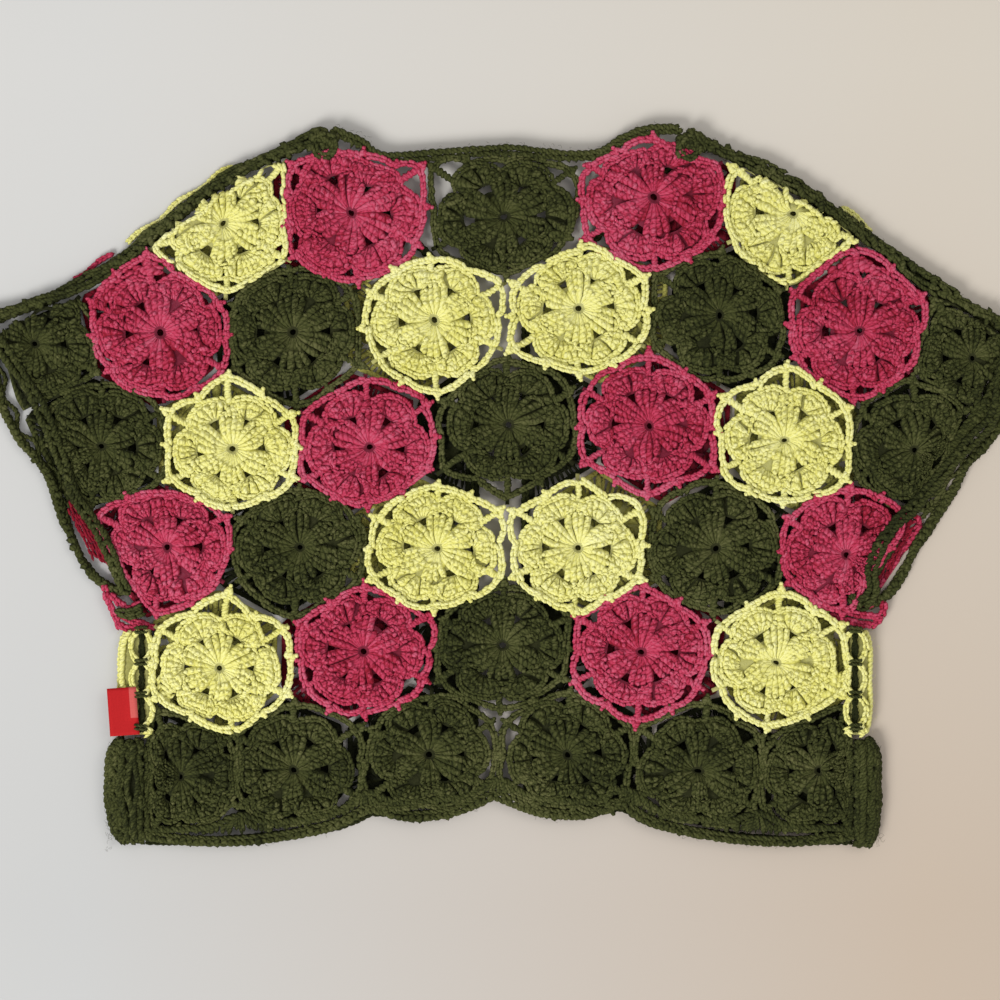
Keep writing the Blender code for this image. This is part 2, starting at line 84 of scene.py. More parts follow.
LABEL_SIZE, LABEL_PLACE, LABEL_TURN = (12.0, 21.5, 0.8), (-170.0, -100.8), math.radians(4)
OPENING_X, V_FOOT_Y, NECK_CORNER, EDGE_BEND = 11.5, 84.0, 2.5, 14.0
FRONT_SPREAD, SPREAD_REACH = 11.0, 280.0


def row_keys(number):
    """Where a row's motifs stand, counted from its middle."""
    size = len(ROWS[number]["colours"])
    return [i - (size - 1) / 2 for i in range(size)]


def centre(number, k):
    """The middle of motif k of a row; rows and motifs past the ends only shape the borders."""
    if number < 0:
        return centre(0, k) + np.array((0.0, NECK_STEP))
    if number >= len(ROWS):
        return centre(len(ROWS) - 1, k) - np.array((0.0, ROW_STEP))
    row = ROWS[number]
    last = row_keys(number)[-1]
    inside = min(max(k, -last), last)
    x = row["middle"] + row["pitch"] * inside - row["squeeze"] * inside ** 3
    y = np.interp(inside + last, range(len(row["heights"])), row["heights"])
    beyond = (k - inside) * OUTSIDE_STRETCH
    rise = SHOULDER_RISE if number == 0 else 0.0
    return np.array((x + row["pitch"] * beyond, y + rise * abs(beyond)))


def cell(number, k):
    """The six corners of a motif's hexagon, anticlockwise."""
    ring = [(number, k + 1), (number - 1, k + 0.5), (number - 1, k - 0.5), (number, k - 1),
            (number + 1, k - 0.5), (number + 1, k + 0.5)]
    around = [centre(*key) for key in ring]
    here = centre(number, k)
    return np.array([(here + a + b) / 3 for a, b in zip(around, around[1:] + around[:1])])


MOTIFS = [(number, k, colour, f"{row['name']}_motif_{place}") for number, row in enumerate(ROWS)
          for place, (k, colour) in enumerate(zip(row_keys(number), row["colours"]), start=1)]
LATTICE = np.array([centre(number, k) for number, k, _, _ in MOTIFS])


def bow(start, middle, end, steps):
    """A flat curve from start to end, drawn towards middle."""
    a, b, c = (np.array(p, float) for p in (start, middle, end))
    t = np.linspace(0, 1, steps + 1)[:, None]
    return a * (1 - t) ** 2 + b * 2 * t * (1 - t) + c * t * t


def smooth(points, steps):
    """Catmull-Rom curve through all the points, in two or three dimensions."""
    line = np.array(points, float)
    line = np.vstack((2 * line[0] - line[1], line, 2 * line[-1] - line[-2]))
    a, b, c, d = (line[i:len(line) - 3 + i, None] for i in range(4))
    t = (np.arange(steps) / steps)[None, :, None]
    curve = 0.5 * (2 * b + (c - a) * t + (2 * a - 5 * b + 4 * c - d) * t ** 2
                   + (3 * b - a - 3 * c + d) * t ** 3)
    return np.vstack((curve.reshape(-1, line.shape[1]), line[-2]))


def unit(v):
    """Vectors of length 1."""
    return v / np.maximum(np.linalg.norm(v, axis=-1, keepdims=True), 1e-9)


def rays(angles):
    """Flat directions for angles."""
    return np.stack((np.cos(angles), np.sin(angles)), 1)


def grid_faces(rows, columns, closed=True):
    """The quads of a grid of points that are counted row by row; a closed grid goes round from its last
    column to its first."""
    last = columns if closed else columns - 1
    return [(r * columns + i, r * columns + (i + 1) % columns, (r + 1) * columns + (i + 1) % columns,
             (r + 1) * columns + i) for r in range(rows - 1) for i in range(last)]


def left_of(path):
    """Sideways directions, to the left of a flat path."""
    along = unit(np.gradient(path[:, :2], axis=0))
    return np.stack((-along[:, 1], along[:, 0]), 1)


def shifted(path, distance):
    """The path moved sideways, to its left."""
    moved = np.array(path, float)
    moved[:, :2] += left_of(path) * np.reshape(distance, (-1, 1))
    return moved


def spaced(path, count):
    """The path again as points that stand the same distance apart."""
    run = np.concatenate(([0], np.cumsum(np.linalg.norm(np.diff(path, axis=0), axis=1))))
    at = np.linspace(0, run[-1], count)
    return np.stack([np.interp(at, run, path[:, i]) for i in range(path.shape[1])], 1)


def length_of(path):
    """How long a path is."""
    return float(np.linalg.norm(np.diff(path, axis=0), axis=1).sum())


def raised(path, height):
    """A flat path as points in space."""
    return np.column_stack((path[:, :2], np.broadcast_to(height, len(path))))


def shoulder_line(side):
    """The seam from the neck to the sleeve's tip."""
    return smooth((side["neck"], *side["shoulder"], side["sleeve"]), 8)


def cuff_line(side, layer):
    """A cuff as in the CAD, from the sleeve's tip to the armpit; layer is front or back."""
    start = np.array(side["sleeve"]) - (0.0, SEAM_WIDTH / 2 + GAP + SLEEVE_CORNER)
    return bow(start, side[f"{layer}_cuff_bow"], side[f"{layer}_armpit"], 24)


def hem_inner(x):
    """The upper edge of the hem border."""
    return HEM_MIDDLE - HEM_DROP * np.sin(np.pi / 2 * np.minimum(1.0, np.abs(x) / HEM_REACH)) ** 2


def front_x(x, sign):
    """Where a place of the back's lattice lies on a front."""
    return x + sign * FRONT_SPREAD * (1 - abs(x) / SPREAD_REACH)


def blurred(values, spread):
    """Values round a circle, each averaged with its neighbours."""
    weights = np.exp(-0.5 * (np.arange(-3 * spread, 3 * spread + 1) / spread) ** 2)
    total = sum(w * np.roll(values, i) for w, i in zip(weights, range(-3 * spread, 3 * spread + 1)))
    return total / weights.sum()


def add_object(name, mesh, slot, replaced=()):
    """A visible piece of the garment: it rides on the one body and stands for the CAD nodes it replaces."""
    obj = bpy.data.objects.new(name, mesh)
    bpy.context.scene.collection.objects.link(obj)
    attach(obj, "root")
    if replaced:
        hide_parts(*replaced)
    return obj


def new_mesh(name, points, faces, materials):
    """A smooth mesh from points in millimetres."""
    mesh = bpy.data.meshes.new(name)
    mesh.from_pydata((points * MM).tolist(), [], faces)
    mesh.shade_smooth()
    for material in materials:
        mesh.materials.append(material)
    return mesh

# ---------------------------------------------------------------- strands of yarn

LOWEST = 0.05               # no strand goes nearer to the floor

class Yarn:
    """Strands of one piece, gathered as arrays and made into one mesh at the end."""

    def __init__(self, seed, sides=5):
        self.points, self.faces, self.corners, self.tints = [], [], [], []
        self.sides = sides      # of every strand's cross-section
        self.size = 0
        self.rng = np.random.default_rng(SEED + seed)
        self.fits = None        # tells where strands are wanted, if not everywhere

    def strands(self, path, wide, high, tint=0.0, sides=None, up=(0.0, 0.0, 1.0), wound=0.62, relief=0.6):
        """Tapered strands. path is [strand, station, 3]: its first and last points are the tips, and
        wide and high are half the strand's width and height at the stations between them. up is the
        direction that the cloth faces there, one for all or one for each strand. wound is how many
        plies pass along a millimetre, and relief how strongly they show at each station."""
        sides = sides or self.sides
        path = np.asarray(path, float)
        count, stations = path.shape[0], path.shape[1] - 2
        wide = np.broadcast_to(wide, (count, stations))
        high = np.broadcast_to(high, (count, stations))
        tint = np.broadcast_to(tint, (count,))
        relief = np.broadcast_to(relief, (count, stations))
        up = np.broadcast_to(np.reshape(up, (-1, 3)), (count, 3)) if np.size(up) == 3 * count else up
        if self.fits is not None and count:
            good = self.fits(path[:, stations // 2 + 1, :2])
            path, wide, high, tint = path[good], wide[good], high[good], tint[good]
            relief = relief[good]
            up = up[good] if np.size(up) == 3 * count else up
            count = len(path)
        if not count:
            return
        along = unit(np.gradient(path, axis=1))[:, 1:-1]
        across = unit(np.cross(along, np.reshape(up, (-1, 1, 3))))
        lift = np.cross(across, along)
        turns = TURN * (np.arange(sides) + 0.5) / sides
        ring = (path[:, 1:-1, None] + across[:, :, None] * wide[..., None, None] * np.cos(turns)[:, None]
                + lift[:, :, None] * high[..., None, None] * np.sin(turns)[:, None])
        body = ring.reshape(count, stations * sides, 3)
        points = np.concatenate((path[:, :1], body, path[:, -1:]), 1)
        each = stations * sides + 2
        j = np.arange(sides)
        k = (j + 1) % sides
        first = np.stack((j * 0, 1 + j, 1 + k, 1 + k), 1)
        last = 1 + (stations - 1) * sides
        end = np.stack((last + j, j * 0 + each - 1, last + k, last + k), 1)
        rows = [np.stack((1 + r * sides + j, 1 + (r + 1) * sides + j, 1 + (r + 1) * sides + k,
                          1 + r * sides + k), 1) for r in range(stations - 1)]
        quads = np.concatenate((first, end, *rows))
        run = np.concatenate((np.zeros((count, 1)),
                              np.cumsum(np.linalg.norm(np.diff(path, axis=1), axis=2), 1)), 1)
        run = run * wound + self.rng.uniform(0, 50, (count, 1))
        about = np.concatenate((np.stack((j + 0.5, j, j + 1, j + 1), 1),
                                np.stack((j, j + 0.5, j + 1, j + 1), 1),
                                *[np.stack((j, j, j + 1, j + 1), 1)] * (stations - 1))) / sides
        where = np.concatenate(([0], np.repeat(np.arange(stations) + 1, sides), [stations + 1]))
        corner = np.stack((run[:, where[quads]], np.broadcast_to(about, (count, *about.shape))), -1)
        self.points.append(points.reshape(-1, 3))
        base = self.size + each * np.arange(count)[:, None, None]
        self.faces.append((quads[None] + base).reshape(-1, 4))
        self.corners.append(corner.reshape(-1, 4, 2))
        shade = tint + self.rng.normal(0, 0.5, count)
        # crest runs from 0 under a strand to 1 on its top; the material paints shade on the underside from it
        crest = np.concatenate(([0.3], np.tile(0.5 + 0.5 * np.sin(turns), stations), [0.3]))
        depth = np.concatenate((relief[:, :1], np.repeat(relief, sides, axis=1), relief[:, -1:]), 1)
        self.tints.append(np.stack((np.repeat(shade, each), np.tile(crest, count), depth.ravel()), 1))
        self.size += each * count

    def grains(self, start, end, wide, high, arch=0.25, jitter=0.12, up=(0.0, 0.0, 1.0), **more):
        """Short plump strands from start to end, arched a little."""
        start, end = np.asarray(start, float), np.asarray(end, float)
        if not len(start):
            return
        up = np.reshape(up, (-1, 3)).astype(float)
        start = start + self.rng.normal(0, jitter, start.shape) * (1, 1, 0.6)
        end = end + self.rng.normal(0, jitter, end.shape) * (1, 1, 0.6)
        shares = np.array((0.0, 0.28, 0.74, 1.0))[None, :, None]
        path = start[:, None] + (end - start)[:, None] * shares
        path[:, 1:3] += up[:, None] * arch
        swell = self.rng.uniform(0.9, 1.1, (len(start), 1))
        self.strands(path, np.reshape(wide, (-1, 1)) * swell, np.reshape(high, (-1, 1)) * swell, up=up,
                     **more)

    def chain(self, path, width, pitch=2.6, high=0.8, rise=0.2, up=(0.0, 0.0, 1.0), **more):
        """A chain of V stitches along a path in space; width is from edge to edge."""
        count = max(2, int(round(length_of(path) / pitch)))
        line = spaced(np.asarray(path, float), count + 1)
        up = np.array(up, float).reshape(-1, 3)
        if len(up) > 1:
            up = unit(spaced(up, count + 1))[:-1]
        along = np.diff(line, axis=0)
        side = unit(np.cross(np.broadcast_to(up, along.shape), along))
        leg = width * 0.235
        for hand in (-1, 1):
            start = line[:-1] + side * hand * width * 0.07 - along * 0.35 - up * rise
            end = line[:-1] + side * hand * (width / 2 - leg) + along * 1.25 + up * rise * 0.6
            self.grains(start, end, leg, high, up=up, **more)

    def cord(self, path, width, twist=5.0, step=0.85, high=0.8, up=(0.0, 0.0, 1.0), **more):
        """Two strands wound round each other along a path in space; width is from edge to edge."""
        count = max(4, int(round(length_of(path) / step)) + 1)
        line = spaced(np.asarray(path, float), count)
        up = np.array(up, float)
        side = unit(np.cross(up, np.gradient(line, axis=0)))
        run = np.linspace(0, length_of(path), count)
        start = self.rng.uniform(0, TURN)
        loose = 1.0 + 0.14 * blurred(self.rng.normal(0, 1, count), 1)
        slack = np.cumsum(self.rng.normal(0, 0.22, count))
        both = []
        for half in (0, math.pi):
            phase = start + half + TURN * run / twist + slack
            both.append(line + side * (width * 0.20 * loose * np.cos(phase))[:, None]
                        + up * (0.45 * high * np.sin(phase))[:, None])
        self.strands(np.array(both), width * 0.30 * loose[1:-1], high * 0.85, up=up, **more)

    def mesh(self, name, material):
        """One mesh of all the strands, with the attributes that the yarn's material reads."""
        mesh = bpy.data.meshes.new(name)
        points = np.concatenate(self.points) * MM
        points[:, 2] = np.maximum(points[:, 2], LOWEST * MM)
        faces = np.concatenate(self.faces)
        corners = np.concatenate(self.corners)
        tints = np.concatenate(self.tints)
        keep = np.ones(faces.shape, bool)
        keep[:, 3] = faces[:, 2] != faces[:, 3]
        sizes = keep.sum(1)
        mesh.vertices.add(len(points))
        mesh.vertices.foreach_set("co", points.astype(np.float32).ravel())
        mesh.loops.add(int(sizes.sum()))
        mesh.loops.foreach_set("vertex_index", faces[keep].astype(np.int32))
        mesh.polygons.add(len(faces))
        starts = np.concatenate(([0], np.cumsum(sizes)[:-1]))
        mesh.polygons.foreach_set("loop_start", starts.astype(np.int32))
        mesh.update(calc_edges=True)
        yarn = mesh.uv_layers.new(name="yarn")
        yarn.data.foreach_set("uv", corners[keep].astype(np.float32).ravel())
        for place, label in enumerate(("shade", "crest", "relief")):
            layer = mesh.attributes.new(label, "FLOAT", "POINT")
            layer.data.foreach_set("value", tints[:, place].astype(np.float32))
        mesh.shade_smooth()
        mesh.materials.append(material)
        return mesh

    def shade_where(self, covered, amount):
        """Painted shade: every strand in a covered place turns darker, as in the shadow of what covers it."""
        for points, tints in zip(self.points, self.tints):
            tints[covered(points[:, :2]), 0] -= amount

    def piece(self, name, colour, replaced=()):
        """The strands as one visible piece, if there are any."""
        if self.points:
            return add_object(name, self.mesh(name, YARN[colour]), SLOTS[colour], replaced)
        return None

# ---------------------------------------------------------------- materials

# G, P, Y and R stand for green, pink and yellow yarn and the red label.
SLOTS = {"G": "green_yarn", "P": "pink_yarn", "Y": "yellow_yarn", "R": "label_cloth"}
COLOURS = {                 # low, middle and high tone of each yarn
    "G": ((0.011, 0.014, 0.002), (0.044, 0.050, 0.012), (0.108, 0.109, 0.040)),
    "P": ((0.225, 0.006, 0.019), (0.448, 0.038, 0.088), (0.520, 0.118, 0.188)),
    "Y": ((0.600, 0.570, 0.135), (0.722, 0.698, 0.250), (0.765, 0.755, 0.380)),
}


def node_tools(name):
    """The tools for a new material: they add a node, a sum, a change of range and a colour ramp, and the
    last one finishes the surface."""
    material = bpy.data.materials.new(name)
    material.use_nodes = True
    tree = material.node_tree
    shader = tree.nodes["Principled BSDF"]

    def add(kind, inputs=(), **settings):
        node = tree.nodes.new(kind)
        for key, value in settings.items():
            setattr(node, key, value)
        for key, value in dict(inputs).items():
            if isinstance(value, bpy.types.NodeSocket):
                tree.links.new(value, node.inputs[key])
            else:
                node.inputs[key].default_value = value
        return node

    def calc(operation, *values):
        return add("ShaderNodeMath", dict(enumerate(values)), operation=operation).outputs[0]

    def span(value, first, last, low=0.0, high=1.0):
        limits = {"From Min": first, "From Max": last, "To Min": low, "To Max": high}
        return add("ShaderNodeMapRange", {"Value": value, **limits}).outputs[0]

    def ramp(value, tones, places=(0.0, 1.0)):
        node = add("ShaderNodeValToRGB", {"Fac": value})
        stops = node.color_ramp.elements
        for place in places[1:-1]:
            stops.new(place)
        for stop, place, tone in zip(stops, places, tones):
            stop.position, stop.color = place, (*tone, 1.0)
        return node.outputs["Color"]

    def finish(colour, height=None, strength=0.0, distance=0.0, **sockets):
        tree.links.new(colour, shader.inputs["Base Color"])
        if height is not None:
            bump = add("ShaderNodeBump", {"Height": height, "Strength": strength, "Distance": distance})
            tree.links.new(bump.outputs["Normal"], shader.inputs["Normal"])
        for socket, setting in sockets.items():
            shader.inputs[socket.replace("_", " ")].default_value = setting
        return material

    return add, calc, span, ramp, finish


TONE_PLACES = (0.28, 0.52, 0.82)        # where a yarn's three tones stand on its colour ramp
GROUND_SHADE_TONE = {"G": 0.50, "P": 0.50, "Y": 0.72}     # painted shade: how much dimmer than its yarn the ground under the stitches is
PLY_SHADE = 0.24            # painted shade: how much darker a strand is in the grooves between its plies
DEEP_SHADE = {"G": -0.36, "P": -0.36, "Y": -0.26}   # painted shade: how much darker a strand is on its underside
TONE_AND_SHADE_STEP = 0.12                 # how much one step of shade changes a strand's tone: its own random tone and painted shade alike


def yarn_material(colour, base=False, dim=1.0):
    """Matt, slightly hairy yarn: plies wind round each strand and every strand has its own tone. Shade is
    painted on: under each strand, in the grooves between its plies and, much darker, under the back. The
    base is the ground under the stitches, plain and dimmer as painted shade."""
    add, calc, span, ramp, finish = node_tools(f"{'ground' if base else 'yarn'}_{SLOTS[colour]}")
    place = add("ShaderNodeTexCoord").outputs["Object"]
    fibre = add("ShaderNodeTexNoise", {"Vector": place, "Scale": 480.0 if base else 900.0, "Detail": 3.0,
                                       "Roughness": 0.7}).outputs["Fac"]
    patch = add("ShaderNodeTexNoise", {"Vector": place, "Scale": 28.0, "Detail": 2.0}).outputs["Fac"]
    value = calc("MULTIPLY", calc("ADD", fibre, patch), 0.5)
    bump_height = fibre
    if not base:
        shade = add("ShaderNodeAttribute", attribute_name="shade").outputs["Fac"]
        crest = add("ShaderNodeAttribute", attribute_name="crest").outputs["Fac"]
        value = calc("ADD", value, calc("MULTIPLY", shade, TONE_AND_SHADE_STEP))
        # painted shade on each strand's underside
        value = calc("ADD", value, span(crest, 0.2, 0.9, DEEP_SHADE[colour], 0.04))
        yarn = add("ShaderNodeUVMap", uv_map="yarn").outputs["UV"]
        split = add("ShaderNodeSeparateXYZ", {0: yarn})
        wound = calc("MULTIPLY_ADD", split.outputs["Y"], 2.0, split.outputs["X"])
        wave = calc("ABSOLUTE", calc("SINE", calc("MULTIPLY", wound, math.pi)))
        relief = add("ShaderNodeAttribute", attribute_name="relief").outputs["Fac"]
        ply = calc("MULTIPLY", span(wave, 0.0, 0.8, -1.0, 0.0), relief)
        # painted shade in the grooves between the plies
        value = calc("MULTIPLY_ADD", ply, PLY_SHADE, value)
        bump_height = calc("MULTIPLY_ADD", ply, 1.5, bump_height)
    # the ground's tones are dimmed as painted shade
    dimmed = dim * GROUND_SHADE_TONE[colour] if base else 1.0
    tones = [[dimmed * part for part in tone] for tone in COLOURS[colour]]
    tone = ramp(value, tones, TONE_PLACES)
    if not base:
        # painted shade: strands whose shade is pushed far down, as under the back, are darkened much more
        lit = span(shade, -4.5, -2.2, 0.42, 1.0)
        dark = add("ShaderNodeCombineColor", {0: lit, 1: lit, 2: lit}).outputs[0]
        tone = add("ShaderNodeMix", {0: 1.0, 6: tone, 7: dark}, data_type="RGBA",
                   blend_type="MULTIPLY").outputs[2]
    return finish(tone, bump_height, 0.55, 0.0012 if base else 0.00045, Roughness=0.92,
                  Specular_IOR_Level=0.18, Sheen_Weight=0.18, Sheen_Roughness=0.6,
                  Sheen_Tint=(*COLOURS[colour][2], 1.0))


YARN = {colour: yarn_material(colour) for colour in COLOURS}
# painted shade: the ground and the folds' cores take dimmed copies of the yarn
GROUND = {colour: yarn_material(colour, base=True, dim=0.75) for colour in COLOURS}
SHADED = {colour: yarn_material(colour, base=True, dim=0.62) for colour in COLOURS}

# ---------------------------------------------------------------- one motif

RIM = 27.3                  # radius of a full-size motif's disc, to the outside of its shells
SQUASH = 0.95               # the disc's height over its width
STEPS = 144                 # directions in which a motif's reach is known
ANGLES = np.arange(STEPS) * TURN / STEPS
CORNER_TURN = math.radians(28)          # an outline that turns by more has a corner there
CLEAR = 1.7                 # from the disc to the motif's edge, at least


def reach_to(stretches, middle):
    """Distance from middle to the nearest of the stretches (start and end) in every direction."""
    a, b = stretches[0] - middle, stretches[1] - middle
    ray = rays(ANGLES)
    edge = b - a
    down = ray[:, None, 0] * edge[None, :, 1] - ray[:, None, 1] * edge[None, :, 0]
    down = np.where(np.abs(down) < 1e-9, 1e-9, down)
    far = (a[None, :, 0] * edge[None, :, 1] - a[None, :, 1] * edge[None, :, 0]) / down
    share = (a[None, :, 0] * ray[:, None, 1] - a[None, :, 1] * ray[:, None, 0]) / down
    good = (far > 1e-6) & (share >= -1e-9) & (share <= 1 + 1e-9)
    return np.where(good, far, 1e6).min(1)


class Motif:
    """Where the stitches of one motif lie: its own polar measures bent onto the garment. A cut motif keeps
    its round shape and stops at its outline; any other is squeezed until it fits in."""

    def __init__(self, middle, outline, turn, size=1.0, low=0.0, bounds=None, cut=False, layer=0, thick=1.0,
                 fine=True):
        self.middle, self.outline, self.turn, self.low, self.layer = middle, outline, turn, low, layer
        self.thick, self.fine = thick, fine
        self.edge = reach_to((outline, np.roll(outline, -1, axis=0)), middle)
        if bounds is not None:
            self.edge = np.minimum(self.edge, reach_to(bounds, middle))
        full = RIM * size / np.hypot(np.cos(ANGLES), np.sin(ANGLES) / SQUASH)
        room = np.maximum(self.edge - CLEAR, 0.8 * full if cut else 0.3)
        self.disc = np.minimum(blurred(np.minimum(full, room), 5), room + 0.2 * CLEAR)
        own = np.random.default_rng(int(abs(middle[0]) * 10) + int(abs(middle[1]) * 100) + SEED)
        self.corner_reach = own.uniform(0.05, 0.18, 12)
        self.tie_reach = own.random(12) ** 2
        self.waves = [(own.uniform(0.18, 0.42, 2) * own.choice((-1, 1), 2), own.uniform(0, TURN),
                       own.uniform(-1, 1, 3) * (0.42, 0.42, 0.22)) for _ in range(5)]

    def directions(self, theta):
        """Directions on the garment for the motif's own angles."""
        return np.arctan2(SQUASH * np.sin(theta), np.cos(theta)) + self.turn

    def around(self, values, direction):
        """A table over ANGLES, read at these directions."""
        return np.interp(direction % TURN, np.append(ANGLES, TURN), np.append(values, values[0]))

    def rim_toward(self, away):
        """How far the disc reaches in the direction of the vector away."""
        return self.around(self.disc, np.array([math.atan2(away[1], away[0])]))[0]

    def at(self, r, theta, z):
        """Points at the motif's own radius r (up to RIM) and angle theta."""
        r, theta, z = np.broadcast_arrays(r, theta, z)
        direction = self.directions(theta)
        far = r / RIM * self.around(self.disc, direction)
        place = np.stack((self.middle[0] + far * np.cos(direction),
                          self.middle[1] + far * np.sin(direction), self.low + z), -1)
        moved = place.copy()
        for wave, start, reach in self.waves:
            moved += np.sin(place[..., :2] @ wave + start)[..., None] * reach
        return moved

    def scale(self, theta):
        """How much smaller than full size the motif is at these angles."""
        return self.around(self.disc, self.directions(theta)) / RIM

    def kept(self, points):
        """The points, those past the outline drawn back to it."""
        away = points[:, :2] - self.middle
        far = np.hypot(away[:, 0], away[:, 1])
        most = np.maximum(self.around(self.edge, np.arctan2(away[:, 1], away[:, 0])) - 0.8, 0.3)
        points = points.copy()
        points[:, :2] = self.middle + away * np.minimum(1.0, most / np.maximum(far, 1e-6))[:, None]
        return points

    def holds(self, points):
        """Which points lie inside the motif's outline."""
        away = points - self.middle
        edge = self.around(self.edge, np.arctan2(away[:, 1], away[:, 0]))
        return np.hypot(away[:, 0], away[:, 1]) < edge - 0.4


PEAK_REACH, PEAK_INSET = 12.0, 6.5      # round the neck's two peaks the seam and the border cover the motif
ANCHOR_INSET = 1.7          # from the outline to the places where the outer chain is tied
TIE_SPACING = 16.5          # from one of those places to the next, roughly
SHORTEST_EDGE = 5.0         # shorter stretches between corners get no place of their own


def is_free(point, middle):
    """Whether no other motif lies across the outline at this point."""
    far = np.hypot(*(LATTICE - point).T)
    return (far < 1.22 * np.linalg.norm(point - middle) + 4.0).sum() < 2


def motif_anchors(motif):
    """The places where the outer chain is tied: true corners, and evenly between them along the outline."""
    middle, outline = motif.middle, motif.outline
    before, after = outline - np.roll(outline, 1, axis=0), np.roll(outline, -1, axis=0) - outline
    turn = np.arccos(np.clip((unit(before) * unit(after)).sum(1), -1, 1))
    corners = [i for i in range(len(outline)) if turn[i] > CORNER_TURN]
    if len(corners) < 3:
        corners = list(range(0, len(outline), max(1, len(outline) // 6)))
    anchors = []
    for first, last in zip(corners, corners[1:] + corners[:1]):
        count = (last - first) % len(outline)
        edge = outline[[(first + i) % len(outline) for i in range(count + 1)]]
        span = length_of(edge)
        if span < SHORTEST_EDGE:
            continue
        parts = max(1, int(round(span / TIE_SPACING)))
        stops = spaced(edge, parts + 1)[:-1]
        anchors += [(stop, "middle" if i else "corner") for i, stop in enumerate(stops)]
    placed = []
    for point, kind in anchors:
        away = point - middle
        far = np.linalg.norm(away)
        rim = motif.rim_toward(away)
        reach = len(placed) % len(motif.tie_reach)
        if min(math.dist(point, side["neck"]) for side in SIDES) < PEAK_REACH:
            place = far - PEAK_INSET
        elif is_free(point, middle):
            place = far - ANCHOR_INSET * 0.5
        elif kind == "corner":
            place = far - max(ANCHOR_INSET, motif.corner_reach[reach] * far)
        else:
            place = min(far - 1.2, rim + 0.9 + motif.tie_reach[reach] * (far - rim - 1.8))
        placed.append((middle + away * max(place, 0.5) / far, kind))
    return placed


SHELL_FOOT = 15.9           # radius at which a shell's posts start
SHELL_SPAN = math.radians(29)           # half the angle that a shell takes
RIM_DIP = 4.2               # how far the rim dips where two shells meet
POSTS = 24                  # in the six petals together
POST_SPREAD = ((0.0, 8.0, 12.0, 14.5, 18.0),    # so far out on a petal
               (0.0, 2.1, 2.8, 3.0, 2.7))       # its posts stand so far apart
POST_WOUND = 0.40           # a post is wound so coarsely that its plies show as slanting loops
LOOPED = {"wound": POST_WOUND, "relief": 1.0}


def rim_at(across):
    """Radius of the chain on the shells' rim; across runs from -1 to 1 over a shell."""
    return RIM - 1.2 - RIM_DIP * np.abs(across) ** 3


def shell_point(facing, across, share, size=1.0):
    """A point of a shell: facing is the shell's own direction, across runs from -1 to 1 over its posts, and
    share how far out along the post it is, from the foot (0) to the rim (1)."""
    across, share = np.broadcast_arrays(across, share)
    root_x = SHELL_FOOT - 0.9 * across ** 2
    root_y = 2.3 * across
    far = (rim_at(across) - 0.9) * size
    crown_x = far * np.cos(across * SHELL_SPAN)
    crown_y = far * np.sin(across * SHELL_SPAN)
    bulge = 1.2 * np.sin(np.pi * share) * across
    x = root_x + (crown_x - root_x) * share - 0.4 * np.abs(bulge)
    y = root_y + (crown_y - root_y) * share + bulge
    return np.hypot(x, y), np.arctan2(y, x) + facing


def disc_stitches(yarn, motif):
    """The strands of a motif's disc, from its middle to the rim of its shells."""
    petals(yarn, motif)
    group_tops(yarn, motif)
    shells(yarn, motif)


def petals(yarn, motif):
    """The first round: 24 posts in six petals, radial near the middle and side by side further out."""
    rng, thick = yarn.rng, motif.thick
    place = np.tile(np.arange(4), 6) - 1.5
    facing = (np.repeat(np.arange(6), 4) + 0.5) * TURN / 6 + np.repeat(rng.normal(0, 0.03, 6), 4)
    head = np.where(np.abs(place) < 1, 17.6, 15.8) + rng.normal(0, 0.5, POSTS)
    spread = rng.uniform(0.92, 1.06, POSTS)
    sway = rng.normal(0, 0.3, POSTS)
    size = motif.scale(facing) * rng.uniform(0.88, 1.14, POSTS)

    def on_post(share, aside=0.0):
        """Radius and angle on every post, share of the way out and aside by so many millimetres."""
        x = 1.2 + (head - 1.2) * share
        y = place * spread * np.interp(x, *POST_SPREAD) + sway * np.sin(np.pi * share)
        return np.hypot(x, y + aside), facing + np.arctan2(y + aside, x)

    share = np.array((0.0, 0.09, 0.30, 0.60, 0.88, 1.0) if motif.fine else (0.0, 0.15, 0.85, 1.0))
    inner = share[1:-1]
    lift = np.interp(share, (0.0, 0.09, 0.32, 0.62, 0.9, 1.0), (1.0, 1.3, 2.05, 2.5, 2.3, 1.6)) * thick
    r, theta = (np.stack(values, 1) for values in zip(*(on_post(part) for part in share)))
    height = lift + rng.normal(0, 0.2, (POSTS, 1)) * np.sin(np.pi * share)
    wide, high, relief = (np.interp(inner, (0.09, 0.30, 0.60), values)
                          for values in ((0.42, 1.15, 1.9), (0.6, 0.95, 1.15), (0.1, 0.5, 1.0)))
    yarn.strands(motif.at(r, theta, height), wide * size[:, None], high * thick, tint=0.1, wound=POST_WOUND,
                 relief=relief)
    hole = np.arange(6) * TURN / 6 + rng.normal(0, 0.03, 6)
    far = np.linspace(2.0, 11.6, 5)
    yarn.strands(motif.at(far, hole[:, None], np.array((1.4, 1.8, 1.9, 1.8, 1.2)) * thick),
                 np.array((0.55, 1.7, 2.5)) * motif.scale(hole)[:, None], 0.8 * thick, tint=-0.5,
                 wound=POST_WOUND)
    if not motif.fine:
        return
    lean = rng.choice((-1, 1))
    for share in (0.48, 0.70, 0.92):
        slant = lean * rng.uniform(0.3, 0.95, POSTS) * rng.choice((-1, 1, 1, 1, 1), POSTS)
        share = share + rng.normal(0, 0.03, POSTS)
        ends = [motif.at(*on_post(share + reach, slant * way), (3.15 - 0.5 * np.abs(share - 0.6)) * thick)
                for way, reach in ((-1, -0.065), (1, 0.065))]
        yarn.grains(*ends, 1.02 * size, 0.8 * thick, tint=0.3, jitter=0.3, arch=0.35)


